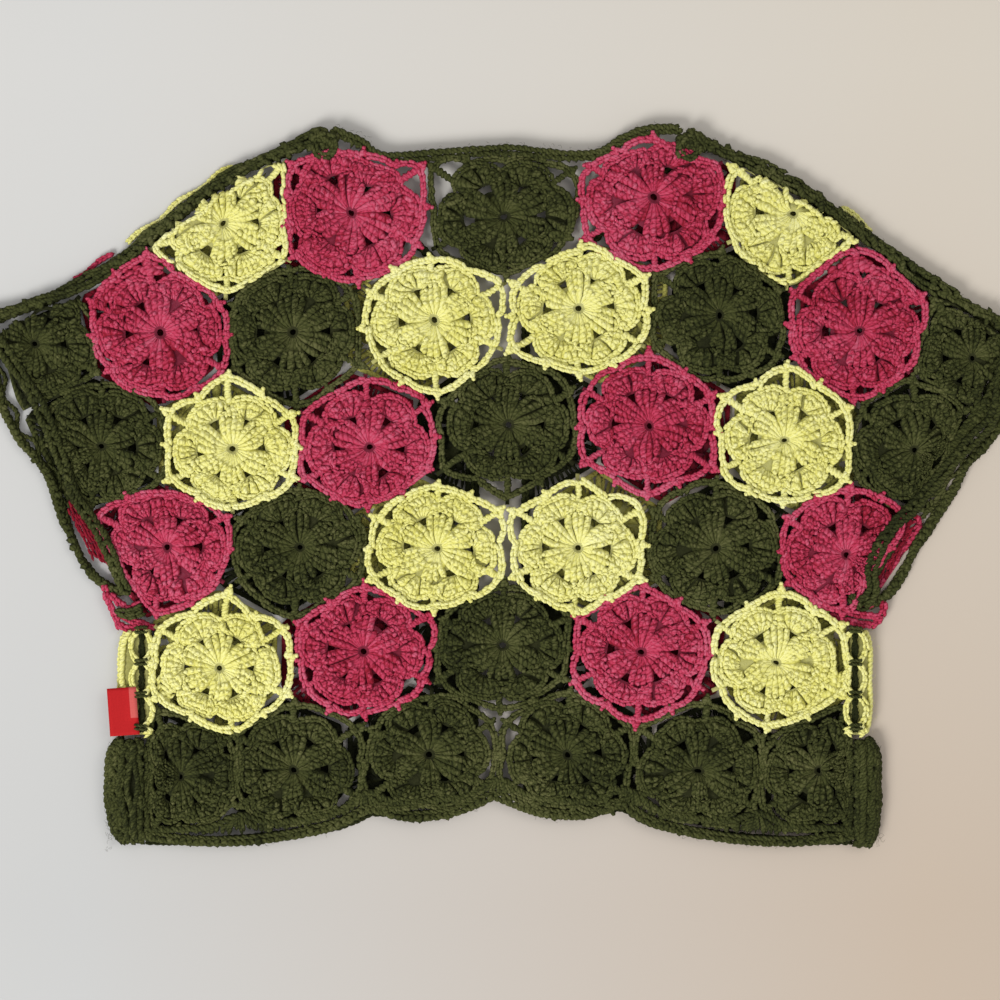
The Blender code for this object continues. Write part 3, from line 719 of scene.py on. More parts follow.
def group_tops(yarn, motif):
    """The stitch heads on the petals, and the stitches from there to the dips of the shells' rim."""
    rng, thick = yarn.rng, motif.thick
    for group in range(6):
        middle = (group + 0.5) * TURN / 6
        turn = np.radians(np.linspace(-17, 17, 8))
        far = 18.2 - 1.9 * (turn / turn[-1]) ** 2
        path = motif.at(far, middle + turn, 2.3 * thick)
        size = float(motif.scale(middle))
        if motif.fine:
            yarn.chain(path, 3.0 * size, pitch=2.4 * max(size, 0.6), high=0.95 * thick, jitter=0.35, tint=0.1)
            aside = np.radians(np.array((-4.6, 0.0, 4.6))) + rng.normal(0, 0.02, 3)
            yarn.grains(motif.at(18.6, middle + 0.8 * aside, 2.2 * thick),
                        motif.at(22.4, middle + aside, 2.3 * thick),
                        1.15 * size, 0.95 * thick, jitter=0.2, **LOOPED)
        else:
            yarn.strands(path[None, ::2], 1.2 * size, 0.8 * thick, **LOOPED)


def shells(yarn, motif):
    """The second round: six fans of posts that start at the six holes, with chains along their rims."""
    rng, thick = yarn.rng, motif.thick
    posts = 8 if motif.fine else 6
    for shell in range(6):
        facing = shell * TURN / 6 + rng.normal(0, 0.02)
        own = rng.uniform(0.975, 1.015)
        size = float(motif.scale(facing))
        if size < 0.12:
            continue
        across = (np.arange(posts) + 0.5) / posts * 2 - 1 + rng.normal(0, 0.06, posts)
        shares = np.array((0.0, 0.16, 0.5, 0.86, 1.0) if motif.fine else (0.0, 0.2, 0.9, 1.0))
        height = np.interp(shares, (0.0, 0.16, 0.5, 0.86, 1.0), (1.3, 1.8, 2.4, 2.3, 1.8)) * thick
        wide = np.interp(shares[1:-1], (0.16, 0.5, 0.86), (0.65, 1.6, 2.6))
        r, theta = shell_point(facing, across[:, None], shares, own)
        yarn.strands(motif.at(r, theta, height + rng.normal(0, 0.2, (posts, 1))),
                     wide * size * rng.uniform(0.88, 1.12, (posts, 1)),
                     np.interp(shares[1:-1], (0.16, 0.5), (0.65, 1.05)) * thick, wound=POST_WOUND,
                     relief=np.interp(shares[1:-1], (0.16, 0.5), (0.3, 1.0)))
        if motif.fine:
            for low, high in ((0.30, 0.56), (0.60, 0.96)):
                lean = 0.12 * rng.uniform(0.3, 1.3, posts) * rng.choice((-1, 1, 1), posts)
                ends = [motif.at(*shell_point(facing, across + sway, share, own), 3.0 * thick)
                        for sway, share in ((-lean, low), (lean, high))]
                yarn.grains(*ends, (0.65 + 0.75 * low) * size, 0.85 * thick, tint=0.35, jitter=0.3, arch=0.3)
        line = np.linspace(-1.0, 1.0, 22 if motif.fine else 9)
        level = (2.1 - 0.8 * np.abs(line) ** 5) * thick
        path = motif.at(rim_at(line) * own, line * SHELL_SPAN + facing, level)
        if motif.fine:
            yarn.chain(path, 4.2 * size, pitch=2.8 * max(size, 0.6), high=1.1 * thick, tint=0.25, jitter=0.22)
        else:
            yarn.strands(path[None], 1.35 * size, 0.8 * thick, **LOOPED)


LAYER_STEP = 0.95           # the outer chains of each colour lie at their own height
PICOT_SHARE = 0.75          # of the places where the chain is tied
STALK_FROM = 12.0           # a corner nearer to the middle has no stalk


def outer_round(yarn, motif):
    """The outer chain: it bows out from anchor to anchor, and bears picots and a stalk to each corner."""
    rng = yarn.rng
    anchors = motif_anchors(motif)
    levels = 1.1 + motif.layer * LAYER_STEP + rng.uniform(-0.15, 0.35, len(anchors))
    motif.arcs = []
    for i, (a, _) in enumerate(anchors):
        j = (i + 1) % len(anchors)
        b = anchors[j][0]
        span = np.linalg.norm(b - a)
        if span < 1.5:
            continue
        outward = unit((a + b) / 2 - motif.middle)
        across = unit(b - a)
        outward = unit(outward - across * (outward @ across))
        bulge = min(1.0, span / 15) * rng.uniform(0.6, 2.8)
        a = a + outward * rng.uniform(-1.3, 0.5) + across * rng.uniform(-0.4, 1.2)
        b = b + outward * rng.uniform(-1.3, 0.5) - across * rng.uniform(-0.4, 1.2)
        sway = rng.uniform(-0.12, 0.12)
        line = [np.append(a, levels[i])]
        for share, part in ((0.22 + sway, 0.85), (0.52 + sway, 1.0), (0.8 + sway / 2, 0.75)):
            line.append(np.append(a + (b - a) * share + outward * bulge * part,
                                  levels[i] + (levels[j] - levels[i]) * share + rng.uniform(-0.1, 0.4)))
        line.append(np.append(b, levels[j]))
        path = smooth(line, 5) + (0.0, 0.0, motif.low)
        motif.arcs.append(path[::3, :2])
        yarn.chain(path, rng.uniform(3.7, 4.5), pitch=3.1, high=1.1, rise=0.1, tint=0.9, jitter=0.2)
    for (point, kind), level in zip(anchors, levels):
        away = unit(point - motif.middle)
        aside = np.array((-away[1], away[0]))
        if rng.random() < PICOT_SHARE:
            tilt = rng.uniform(-0.35, 0.35)
            picot(yarn, np.array((*point, motif.low + level + 0.3)), unit(away + aside * tilt),
                  rng.uniform(2.2, 3.8))
        rim = motif.rim_toward(away)
        far = np.linalg.norm(point - motif.middle)
        if kind == "corner" and far > STALK_FROM:
            foot = motif.middle + away * min(rim * 0.80, far - 4)
            bowed = (foot + point) / 2 + aside * rng.uniform(-0.8, 0.8)
            stalk = smooth(((*foot, motif.low + 1.9), (*bowed, motif.low + 2.2),
                            (*point, motif.low + level + 0.3)), 5)
            yarn.cord(stalk, rng.uniform(3.4, 4.4), twist=4.0, step=1.1, high=1.15, tint=0.3)


def picot(yarn, point, away, long):
    """A small pointed loop that stands out from the chain: two legs and a knot on their tip."""
    aside = np.array((-away[1], away[0], 0.0))
    out = np.array((*away, 0.0))
    base = 1.9 * yarn.rng.uniform(0.7, 1.15)
    tip = point + out * long + (0.0, 0.0, 0.2)
    start = np.array((point - aside * base - out * 0.8, point + aside * base - out * 0.8, tip - aside * 1.1))
    end = np.array((tip + aside * 0.5, tip - aside * 0.5, tip + aside * 1.1 + out * 0.3))
    yarn.grains(start, end, (1.3, 1.3, 1.0), 1.0, arch=0.2, tint=0.6)

# ---------------------------------------------------------------- the crochet ground under the stitches

GROUND_RINGS = (1.3, 4.0, 8.0, 12.2, 15.6, 18.0, 20.0, 24.6)
GROUND_HOLE = 3             # the ring after which the six holes open
BAND = 0.9                  # half the width of the ground under the outer chain
GROUND_THICK = 0.7
BACK_GROUND, FRONT_GROUND = 1.3, 0.55       # how high the ground lies over the foot of its layer


class Ground:
    """The thin crochet that joins the stitches of one layer: one sheet with real holes."""

    def __init__(self):
        self.points, self.faces, self.kinds = [], [], []
        self.size = 0

    def add(self, points, faces, colour):
        """More of the sheet; its faces count their points from 0."""
        self.points.append(points)
        self.faces += [tuple(i + self.size for i in face) for face in faces]
        self.kinds += [colour] * len(faces)
        self.size += len(points)

    def motif(self, motif, colour, height, edge=None, steps=36):
        """The ground of one motif: a disc with six holes, and bands to its corners and along its edge."""
        closed = np.random.default_rng(SEED + self.size).random(6) < 0.25
        theta = np.arange(steps) * TURN / steps
        in_shell = np.abs((theta * 6 / TURN + 0.5) % 1 - 0.5) * 2
        rings = []
        for number, r in enumerate(GROUND_RINGS):
            far = r - (RIM_DIP * in_shell ** 3 if number == len(GROUND_RINGS) - 1 else 0)
            rings.append(motif.kept(motif.at(far, theta, height)))
        faces = []
        for number, (a, b, c, d) in enumerate(grid_faces(len(rings), steps)):
            ring, i = divmod(number, steps)
            hole, away = divmod(i + 0.5 + steps / 12, steps / 6)
            in_hole = ring == GROUND_HOLE and abs(away - steps / 12) < 0.6
            if not in_hole or closed[int(hole) % 6]:
                faces.append((a, d, c, b))
        self.add(np.concatenate(rings), faces, colour)
        band = np.concatenate(motif.arcs) if edge is None else edge[:-1:2]
        outward = unit(band - motif.middle)
        inner, outer = (raised(band + outward * side, motif.low + height) for side in (-BAND, BAND))
        faces = [(a, d, c, b) for a, b, c, d in grid_faces(2, len(band))]
        self.add(np.concatenate((inner, outer)), faces, colour)
        if edge is not None:
            return
        for point, kind in motif_anchors(motif):
            if kind == "middle":
                continue
            out = unit(point - motif.middle)
            far = np.linalg.norm(point - motif.middle)
            aside = np.array((-out[1], out[0])) * BAND
            start = motif.middle + out * min(motif.rim_toward(out) * 0.84, far - 0.5)
            end = point + out * 3.0
            corners = np.array((start - aside, end - aside, end + aside, start + aside))
            self.add(raised(corners, motif.low + height), [(0, 1, 2, 3)], colour)

    def sheet(self, name, replaced, with_pieces, rests_on):
        """The ground as one thin cloth, thickened by a modifier."""
        order = sorted(set(self.kinds))
        mesh = new_mesh(name, np.concatenate(self.points), self.faces, [GROUND[colour] for colour in order])
        mesh.polygons.foreach_set("material_index", [order.index(kind) for kind in self.kinds])
        obj = add_object(name, mesh, "green_yarn", replaced)
        thick = obj.modifiers.new("thickness", "SOLIDIFY")
        thick.thickness, thick.offset = GROUND_THICK * MM, 0.0
        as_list(rests_on)
        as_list(with_pieces)


def cad_outline(name):
    """A motif's outline in millimetres, read from the foot of its CAD plate."""
    mesh = nodes[name].data
    co = np.array([v.co for v in mesh.vertices]) / MM
    foot = co[co[:, 2] < BACK_LOW + 0.2][:, :2]
    foot = np.unique(np.round(foot, 2), axis=0)
    middle = foot.mean(0)
    turn = np.arctan2(foot[:, 1] - middle[1], foot[:, 0] - middle[0])
    ring = foot[np.argsort(turn)]
    before, after = np.roll(ring, 1, axis=0), np.roll(ring, -1, axis=0)
    a, b = ring - before, after - ring
    bend = np.abs(a[:, 0] * b[:, 1] - a[:, 1] * b[:, 0])
    bent = bend > 0.03 * np.linalg.norm(a, axis=1) * np.linalg.norm(b, axis=1)
    return ring[bent]


FULL_PITCH = 63.0           # the spacing of motifs that have a full-size disc
DISC_SIZE = {"G": 1.03, "P": 1.035, "Y": 1.0}       # each colour's discs against the full size
SHIFTS = {                  # where the stitches of edge motifs turn round a point beside the lattice
    "row_1_motif_1": (0.3, 6.3), "row_1_motif_4": (-2.3, 0.0), "row_1_motif_5": (3.3, 3.3),
    "row_2_motif_1": (-4.5, 0.5), "row_2_motif_7": (3.4, -1.7), "row_2_motif_8": (2.7, -6.0),
    "row_5_motif_1": (-1.6, -1.4), "row_5_motif_5": (-2.1, -1.4), "row_6_motif_1": (0.0, -2.7),
    "row_6_motif_2": (-2.3, 0.0), "row_6_motif_6": (0.9, 4.5),
}
CUT = ("row_1_motif_1", "row_1_motif_5", "row_2_motif_1", "row_2_motif_8")
FILLED = {                  # motifs with more stitches outside the disc: from and to, in degrees
    "row_2_motif_2": (62, 158), "row_2_motif_7": (28, 118),
    "row_5_motif_1": (190, 250), "row_5_motif_5": (290, 350),
}


def fill_between(yarn, motif, first, last):
    """Stitches from the rim of the disc to the outer chain over a part of the round."""
    for inner, outer, height, lean in ((0.93, 4.6, 2.0, 0.03), (1.02, 2.2, 1.6, -0.04)):
        turn = np.arange(first, last, 4.2)
        turn = np.radians(turn + yarn.rng.normal(0, 0.8, len(turn)))
        out = rays(turn)
        start = motif.middle + out * (motif.around(motif.disc, turn) * inner)[:, None]
        end = motif.middle + rays(turn + lean) * (motif.around(motif.edge, turn + lean) - outer)[:, None]
        keep = ((end - start) * out).sum(1) > 0.8
        yarn.grains(raised(start, motif.low + height)[keep], raised(end, motif.low + height - 0.3)[keep],
                    2.2, 1.0, arch=0.3, jitter=0.35, **LOOPED)


def make_back():
    """The motifs of the back, one piece of stitches each, and the ground that joins them."""
    pieces = []
    ground = Ground()
    for serial, (number, k, colour, name) in enumerate(MOTIFS):
        yarn = Yarn(serial)
        turn = math.radians(yarn.rng.uniform(-5, 5))
        middle = centre(number, k) + SHIFTS.get(name, (0.0, 0.0))
        size = ROWS[number]["pitch"] / FULL_PITCH * DISC_SIZE[colour]
        motif = Motif(middle, cad_outline(name), turn, size=size, low=BACK_LOW, cut=name in CUT,
                      layer="GPY".index(colour))
        if name in CUT:
            yarn.fits = motif.holds
        disc_stitches(yarn, motif)
        outer_round(yarn, motif)
        if name in FILLED:
            fill_between(yarn, motif, *FILLED[name])
        ground.motif(motif, colour, BACK_GROUND)
        pieces.append(yarn.piece(f"stitches_{name}", colour, (name,)))
    ground.sheet("back_cloth", [name for *_, name in MOTIFS], pieces,
                 ["front_left", "front_right"])


make_back()

# ---------------------------------------------------------------- the two fronts under the back

FRONT_THICK = 0.62          # the fronts' stitches are pressed flatter by the back on them
COVER_SHADE = 4.2           # and are painted darker under it, as its shadow


def cad_stretches(name):
    """The stretches of a front's outline, read from the feet of its CAD walls."""
    mesh = nodes[name].data
    starts, ends = [], []
    for face in mesh.polygons:
        if abs(face.normal.z) > 0.5:
            continue
        foot = [mesh.vertices[i].co / MM for i in face.vertices]
        foot = [p for p in foot if p.z < 0.1]
        if len(foot) == 2:
            starts.append(foot[0][:2])
            ends.append(foot[1][:2])
    return np.array(starts), np.array(ends)


def is_inside(points, stretches):
    """Which points lie inside an outline given as stretches (starts and ends)."""
    x, y = np.moveaxis(np.asarray(points, float), -1, 0)
    crossings = np.zeros(x.shape, int)
    for a, b in zip(*stretches):
        if a[1] != b[1]:
            crosses = (a[1] > y) != (b[1] > y)
            crossings += crosses & (a[0] + (b[0] - a[0]) * (y - a[1]) / (b[1] - a[1]) > x)
    return crossings % 2 == 1


def back_cover():
    """The outline of the back, as stretches."""
    left, right = SIDES
    hem = np.linspace(right["hem_seam_x"], left["hem_seam_x"], 12)
    ring = np.vstack((np.array(BACK_NECK), shoulder_line(right), cuff_line(right, "back"),
                      np.column_stack((hem, hem_inner(hem) - HEM_BORDER)), cuff_line(left, "back")[::-1],
                      shoulder_line(left)[::-1]))
    return ring, np.roll(ring, -1, axis=0)


COVER = back_cover()


def front_motif(yarn, ground, middle, outline, stretches, colour):
    """One motif of a front: its disc, its outer strand, and plain stitches out to there."""
    turn = math.radians(yarn.rng.uniform(-3, 3))
    motif = Motif(middle, outline, turn, low=0.1, bounds=stretches, thick=FRONT_THICK, fine=False)
    angles = np.linspace(0, TURN, 49)[:-1]
    reach = np.maximum(motif.around(motif.edge, angles), 0.6)
    motif.outline = middle + reach[:, None] * rays(angles)
    disc_stitches(yarn, motif)
    line = motif.outline - unit(motif.outline - middle) * 1.8
    line = np.vstack((line, line[:1]))
    yarn.strands(raised(line, 1.2)[None], 1.6, FRONT_THICK, tint=0.4, **LOOPED)
    directions = np.linspace(0, TURN, 73)[:-1]
    edge, rim = motif.around(motif.edge, directions), motif.around(motif.disc, directions)
    wide = edge - rim > 3.4
    out = rays(directions[wide])
    start = middle + out * (rim[wide] * 0.88)[:, None]
    end = middle + out * (edge[wide] - 1.6)[:, None]
    yarn.grains(raised(start, 1.5), raised(end, 1.1), 1.05, 0.6, arch=0.2, jitter=0.3)
    for corner in [p for p in outline if is_inside(p, stretches)]:
        away = unit(corner - middle)
        rim = motif.rim_toward(away)
        stalk = np.array([middle + away * rim * 0.75, corner - away * 1.2])
        if length_of(stalk) > 3:
            yarn.strands(raised(spaced(stalk, 5), 1.5)[None], 1.8, FRONT_THICK, **LOOPED)
    ground.motif(motif, colour, FRONT_GROUND, edge=line, steps=30)


def make_front(side):
    """One front: half of each row's motifs, drawn apart, with the yarns of one colour as one piece."""
    sign, name = side["sign"], side["name"]
    stretches = cad_stretches(f"front_{name}")
    yarns = {colour: Yarn(SEEDS["front"] + 10 * sign + i, sides=4) for i, colour in enumerate("GPY")}
    ground = Ground()
    for number, row in enumerate(ROWS):
        for k, colour in zip(row_keys(number), row["colours"]):
            if k * sign < 0:
                continue
            here = centre(number, k)
            middle = np.array((front_x(here[0], sign), here[1]))
            if k == 0:
                middle[0] = sign * (OPENING_X + 3.2)
            if not is_inside(middle, stretches):
                continue
            outline = np.array([(front_x(x, sign), y) for x, y in cell(number, k)])
            outline = middle + (outline - middle) * 0.985
            front_motif(yarns[colour], ground, middle, outline, stretches, colour)
    for yarn in yarns.values():
        # painted shade where the back lies over the front
        yarn.shade_where(lambda points: is_inside(points, COVER), COVER_SHADE)
    made = [yarns[colour].piece(f"stitches_front_{name}_{SLOTS[colour][:-5]}", colour) for colour in "GPY"]
    made = [piece for piece in made if piece]
    ground.sheet(f"front_cloth_{name}", [f"front_{name}"], made, [])


for side in SIDES:
    make_front(side)

# ---------------------------------------------------------------- borders and seams

SCALLOP_RISES = ((-57.0, 3.2, 9.0), (-2.0, 3.4, 14.0), (52.5, 4.8, 9.0))   # where, how far and how widely
SCALLOP_ENDS = (-162.0, -59.0, -2.5, 54.5, 162.0)    # where the hem's scallops meet
SCALLOP = 4.8               # how much deeper than there a scallop is in its middle


def hem_rise(x):
    """How far the hem is drawn up between its scallops."""
    return sum(high * np.exp(-((x - at) / wide) ** 2) for at, high, wide in SCALLOP_RISES)


def front_edge(side):
    """A front's edge, from the neck down the opening and out along the hem."""
    sign = side["sign"]
    opening = sign * OPENING_X
    neck = np.array(side["neck"]) - (0.0, SEAM_WIDTH / 2 + NECK_CORNER)

    def hem_y(x):
        return hem_inner(x) + 1.5 * hem_rise(x) - HEM_BORDER / 2 - FRONT_HEM_DROP

    foot, low = np.array((opening, V_FOOT_Y)), np.array((opening, hem_y(opening)))
    up, out = np.array((0.0, EDGE_BEND)), sign * EDGE_BEND
    above = foot + (neck - foot) * EDGE_BEND / np.linalg.norm(neck - foot)
    start, end = low[0] + out, side["hem_seam_x"] - sign * (GAP + 0.1)
    hem = np.linspace(start, end, 24)
    return np.vstack((neck, (neck + above) / 2, bow(above, foot, foot - up, 6), (low + foot) / 2,
                      bow(low + up, low, (start, hem_y(start)), 6), np.column_stack((hem, hem_y(hem)))[1:]))


def unsteady(yarn, line, height, wobble, rise):
    """A flat path brought to a height, where it sways sideways by wobble and up and down by rise."""
    sway, lift = (blurred(yarn.rng.normal(0, 1, len(line)), 2) for _ in range(2))
    return raised(shifted(line, sway * wobble * 2.2), height + lift * rise)


def ropes_along(yarn, path, offsets, widths, heights, high=1.1, wobble=0.5, tint=0.0):
    """Thick cords side by side along a flat path, none of them quite straight."""
    for offset, width, height in zip(offsets, widths, heights):
        line = unsteady(yarn, spaced(shifted(path, offset), 60), height, wobble, 0.5)
        yarn.cord(line, width, twist=6.0, high=high, tint=tint)


def overcast(yarn, path, one, other, height, every=1.5, lean=1.6, wide=1.0, arch=0.8, share=1.0):
    """Slanting stitches that cross a flat path from the offset one to the offset other."""
    rng = yarn.rng
    count = max(3, int(length_of(path) / every))
    line = spaced(path, count)
    side = left_of(line)
    along = np.stack((side[:, 1], -side[:, 0]), 1)
    keep = rng.random(count) < share
    slip = rng.uniform(-0.4, 1.0, count)[:, None] * lean
    start = line + side * (one * rng.uniform(0.45, 1.1, count))[:, None] - along * slip
    end = line + side * (other * rng.uniform(0.45, 1.1, count))[:, None] + along * slip
    level = height + rng.normal(0, 0.3, count)
    yarn.grains(np.column_stack((start, level - 0.4))[keep], np.column_stack((end, level - 0.4))[keep],
                wide * rng.uniform(0.8, 1.2, keep.sum()), 0.95, arch=arch, jitter=0.3)


def knot(yarn, middle, reach, height, count):
    """A lump of short strands that run every way."""
    rng = yarn.rng
    turn, far = rng.uniform(0, math.pi, count), reach * np.sqrt(rng.random(count))
    out = rng.uniform(0, TURN, count)
    level = height - 1.6 * (far / reach) ** 2 + rng.normal(0, 0.2, count)
    place = raised(middle + far[:, None] * rays(out), level)
    half = raised(rays(turn), 0.0) * 1.7
    yarn.grains(place - half, place + half, 1.2, 0.9, arch=0.6)


FIBRE = 2.2                 # how long a loose hair is


def fibres(yarn, path, count, height=4.0):
    """Loose hairs along a flat path."""
    rng = yarn.rng
    line = spaced(path, 200)
    pick = line[rng.integers(0, 200, count)] + rng.normal(0, 1.0, (count, 2))
    turn = rng.uniform(0, TURN, count)
    steps = np.linspace(0, 1, 5)[None, :, None]
    reach = rays(turn)[:, None]
    reach = reach * (FIBRE * rng.uniform(0.5, 1.3, (count, 1, 1)))
    bend = np.stack((-np.sin(turn), np.cos(turn)), 1)[:, None] * rng.normal(0, 0.9, (count, 1, 1))
    flat = pick[:, None] + reach * steps + bend * np.sin(np.pi * steps)
    level = height + rng.uniform(-1.5, 0.6, (count, 1, 1)) - 1.2 * steps
    yarn.strands(np.concatenate((flat, np.maximum(level, 0.3)), 2), 0.06, 0.06, tint=0.8, sides=3)


def plait(yarn, path, width, pitch, height, wobble=0.8):
    """A plait of chunky V stitches along a flat path, not quite straight."""
    line = unsteady(yarn, spaced(path, max(12, int(length_of(path) / 3))), height, wobble, 0.6)
    yarn.chain(line, width, pitch=pitch, high=1.5, rise=0.3, jitter=0.4)


SLIVERS = {                 # the fronts' yarn past the shoulder seams: colour, from and to along the seam
    "left": (("Y", 0.25, 0.60), ("P", 0.64, 0.77)), "right": (("Y", 0.45, 0.56),),
}
CUFF_PLACES = {             # where the cuffs' borders pass between the sleeve's tip and the armpit
    "left": {"back": ((-216.5, 52.0), (-207.0, 35.0), (-199.0, 15.8), (-191.5, -4.5), (-181.0, -21.0),
                      (-175.2, -32.5), (-172.0, -42.0), (-168.5, -48.5)),
             "front": ((-227.5, 48.0), (-219.6, 26.6), (-208.5, 12.0), (-201.5, 1.5), (-197.8, -10.7),
                       (-193.5, -22.5), (-187.0, -35.5), (-179.5, -43.3), (-170.0, -47.2))},
    "right": {"back": ((226.5, 50.0), (222.0, 31.5), (214.5, 22.5), (205.5, 13.0), (197.0, 3.5),
                       (186.6, -8.2), (178.6, -17.0), (171.0, -28.7), (167.4, -38.3), (167.5, -47.0),
                       (162.5, -53.0)),
              "front": ((229.4, 48.0), (225.0, 28.0), (217.8, 18.5), (210.8, 11.0), (205.8, 1.8),
                        (199.5, -8.2), (193.6, -17.2), (187.8, -26.2), (183.0, -35.9), (177.0, -46.0),
                        (169.8, -51.5), (163.0, -53.5))},
}
CUFF_PATCH = {"left": (0.60, 0.90), "right": (0.64, 0.93)}   # where the front's pink yarn shows between them
SLEEVE_ENDS = {             # the pink chains that close the front below the sleeves
    "left": (((-178.5, -44.5), (-175.0, -55.0), (-171.0, -63.5)),
             ((-173.0, -57.0), (-164.5, -60.5), (-155.0, -63.8)),
             ((-175.5, -48.5), (-168.0, -54.5), (-161.0, -52.0)),
             ((-172.5, -62.0), (-166.0, -64.0), (-160.0, -62.5))),
    "right": (((173.0, -52.0), (172.0, -58.0), (167.5, -63.0)),
              ((151.0, -54.5), (161.0, -57.4), (171.0, -58.6)),
              ((148.5, -57.4), (157.5, -60.6), (167.5, -62.2)),
              ((168.0, -52.5), (163.0, -53.5), (158.0, -52.0))),
}
SLEEVE_TUFTS = {"left": ((-171.5, -58.0), (-166.0, -58.6), (-160.5, -56.0)),
                "right": ((157.0, -50.0), (162.5, -54.5), (168.0, -51.0))}


def cuff_path(side, layer):
    """Where a cuff's cord really passes."""
    return smooth((cuff_line(side, layer)[0], *CUFF_PLACES[side["name"]][layer]), 5)


PEAK_LOOP = ((6.0, -7.0, 5.0), (1.0, -1.0, 6.4), (-5.5, -3.5, 6.6), (-4.5, -9.5, 6.2), (1.5, -10.5, 6.0),
             (3.5, -5.0, 6.8))         # the loop on each of the neck's peaks
CUFF_JOINTS = 17.0          # how far apart the front cuff's two cords meet

# In the functions below an offset times the side's sign points away from the garment.


def shoulder_stitches(side):
    """The seam along a shoulder, its knot at the neck, and the front's yarn past it."""
    name, sign = side["name"], side["sign"]
    yarn = Yarn(SEEDS["shoulder"] + 10 * sign)
    seam = shoulder_line(side)
    ropes_along(yarn, seam, (1.2 * sign, -1.4 * sign), (3.6, 3.8), (1.8, 2.2), wobble=0.5)
    plait(yarn, shifted(seam, 1.3 * sign), 4.3, 4.2, 4.0)
    plait(yarn, shifted(seam, -1.4 * sign), 4.6, 4.6, 4.8, wobble=1.0)
    overcast(yarn, seam, 3.6 * sign, -1.0 * sign, 4.7, every=5.6, lean=3.0 * sign, wide=1.6, share=0.8)
    overcast(yarn, seam, 1.5 * sign, -5.0 * sign, 5.2, every=5.4, lean=3.4 * sign, wide=1.5, share=0.8)
    for colour, start, end in SLIVERS[name]:
        sliver = Yarn(SEEDS["past_shoulder"] + 10 * sign)
        line = spaced(shifted(seam, 4.1 * sign), 101)[int(100 * start):int(100 * end)]
        wave = 0.9 * np.sin(np.linspace(0, math.pi * len(line) / 7, len(line)))
        sliver.chain(raised(shifted(line, sign * wave), 1.4), 3.2, pitch=2.7, high=1.0)
        sliver.piece(f"stitches_past_shoulder_{name}_{SLOTS[colour][:-5]}", colour)
    peak = np.array(side["neck"])
    knot(yarn, peak + (sign * 1.0, -2.6), 4.6, 6.4, 60)
    knot(yarn, peak + (-sign * 3.4, -3.4), 3.4, 6.2, 30)
    loop = [(*(peak + (sign * out, down)), high) for out, down, high in PEAK_LOOP]
    yarn.chain(smooth(loop, 5), 4.6, pitch=3.8, high=1.4, jitter=0.4, tint=0.4)
    fibres(yarn, seam, 220)
    yarn.piece(f"stitches_shoulder_{name}", "G", (f"shoulder_seam_{name}",))


def back_cuff_stitches(side):
    """The back's cuff cord, and the stitches that fill its way from the seam line."""
    name, sign = side["name"], side["sign"]
    yarn = Yarn(SEEDS["cuff_back"] + 10 * sign)
    cuff = cuff_path(side, "back")
    ropes_along(yarn, cuff, (1.0 * sign, -2.2 * sign), (3.7, 3.4), (6.4, 6.8), wobble=0.5)
    overcast(yarn, cuff, 0.4 * sign, -4.2 * sign, 7.0, every=4.0, lean=2.4, wide=1.2, share=0.8)
    sewn, free = spaced(cuff_line(side, "back"), 61), spaced(cuff, 61)
    apart = np.flatnonzero(((free - sewn) * left_of(sewn)).sum(1) * sign > 1.5)
    sewn, free = sewn[apart[0]:apart[-1] + 1], free[apart[0]:apart[-1] + 1]
    for share in (0.0, 0.42, 0.75):
        line = sewn * (1 - share) + free * share
        ropes_along(yarn, line, (-2.0 * sign,), (3.8,), (4.3,), wobble=0.9)
    overcast(yarn, (sewn + free) / 2, 2.0 * sign, -4.6 * sign, 4.6, every=3.4, lean=2.0, wide=1.3, share=0.8)
    fibres(yarn, cuff, 60)
    yarn.piece(f"stitches_cuff_back_{name}", "G", (f"cuff_border_back_{name}",))


def front_cuff_stitches(side):
    """The front's cuff: two cords that meet again and again, and a tuft at the sleeve's end."""
    name, sign = side["name"], side["sign"]
    yarn = Yarn(SEEDS["cuff_front"] + 10 * sign)
    cuff = cuff_path(side, "front")
    ropes_along(yarn, cuff, (0.9 * sign, -0.7 * sign), (3.6, 3.2), (2.4, 2.0), wobble=0.45, high=1.2)
    line = spaced(cuff, 80)
    run = np.linspace(0, length_of(line), 80)
    line = shifted(line, -sign * (2.6 + 1.7 * np.sin(run / CUFF_JOINTS * TURN)))
    yarn.cord(raised(line[:52], 1.6), 2.6, twist=5.0, high=0.9)
    overcast(yarn, cuff, 2.6 * sign, -2.4 * sign, 3.2, every=3.0, lean=1.4, wide=1.5, arch=0.5, share=0.9)
    fibres(yarn, cuff, 120, height=2.4)
    tuft = smooth([(*point, 4.6) for point in SLEEVE_TUFTS[name]], 5)
    yarn.chain(tuft, 4.4, pitch=3.4, high=1.3, jitter=0.4)
    yarn.chain(tuft + (sign * 0.8, 2.4, 0.3), 4.0, pitch=3.4, high=1.2, jitter=0.4)
    yarn.piece(f"stitches_cuff_front_{name}", "G", (f"cuff_border_front_{name}",))


def past_cuff_stitches(side):
    """The front's pink chains beside the cuff, in painted shade, and at the sleeve's end."""
    name = side["name"]
    patch = Yarn(SEEDS["past_cuff"] + 10 * side["sign"])
    inner, outer = (spaced(cuff_path(side, layer), 101) for layer in ("back", "front"))
    first, last = (int(100 * end) for end in CUFF_PATCH[name])
    for share, wide in ((0.16, 3.4), (0.36, 3.4), (0.56, 2.8)):
        line = (inner * (1 - share) + outer * share)[first + int(9 * share):last - int(9 * share)]
        # painted shade: the chains between the cuff's cords are made much darker
        patch.chain(raised(line, 2.0 - 0.5 * share), wide, pitch=3.0, high=1.0, jitter=0.35, tint=-2.4)
    for line in SLEEVE_ENDS[name]:
        patch.chain(smooth([(*point, 3.4) for point in line], 5), 4.3, pitch=3.1, high=1.2, jitter=0.3)
    patch.piece(f"stitches_past_cuff_{name}", "P")


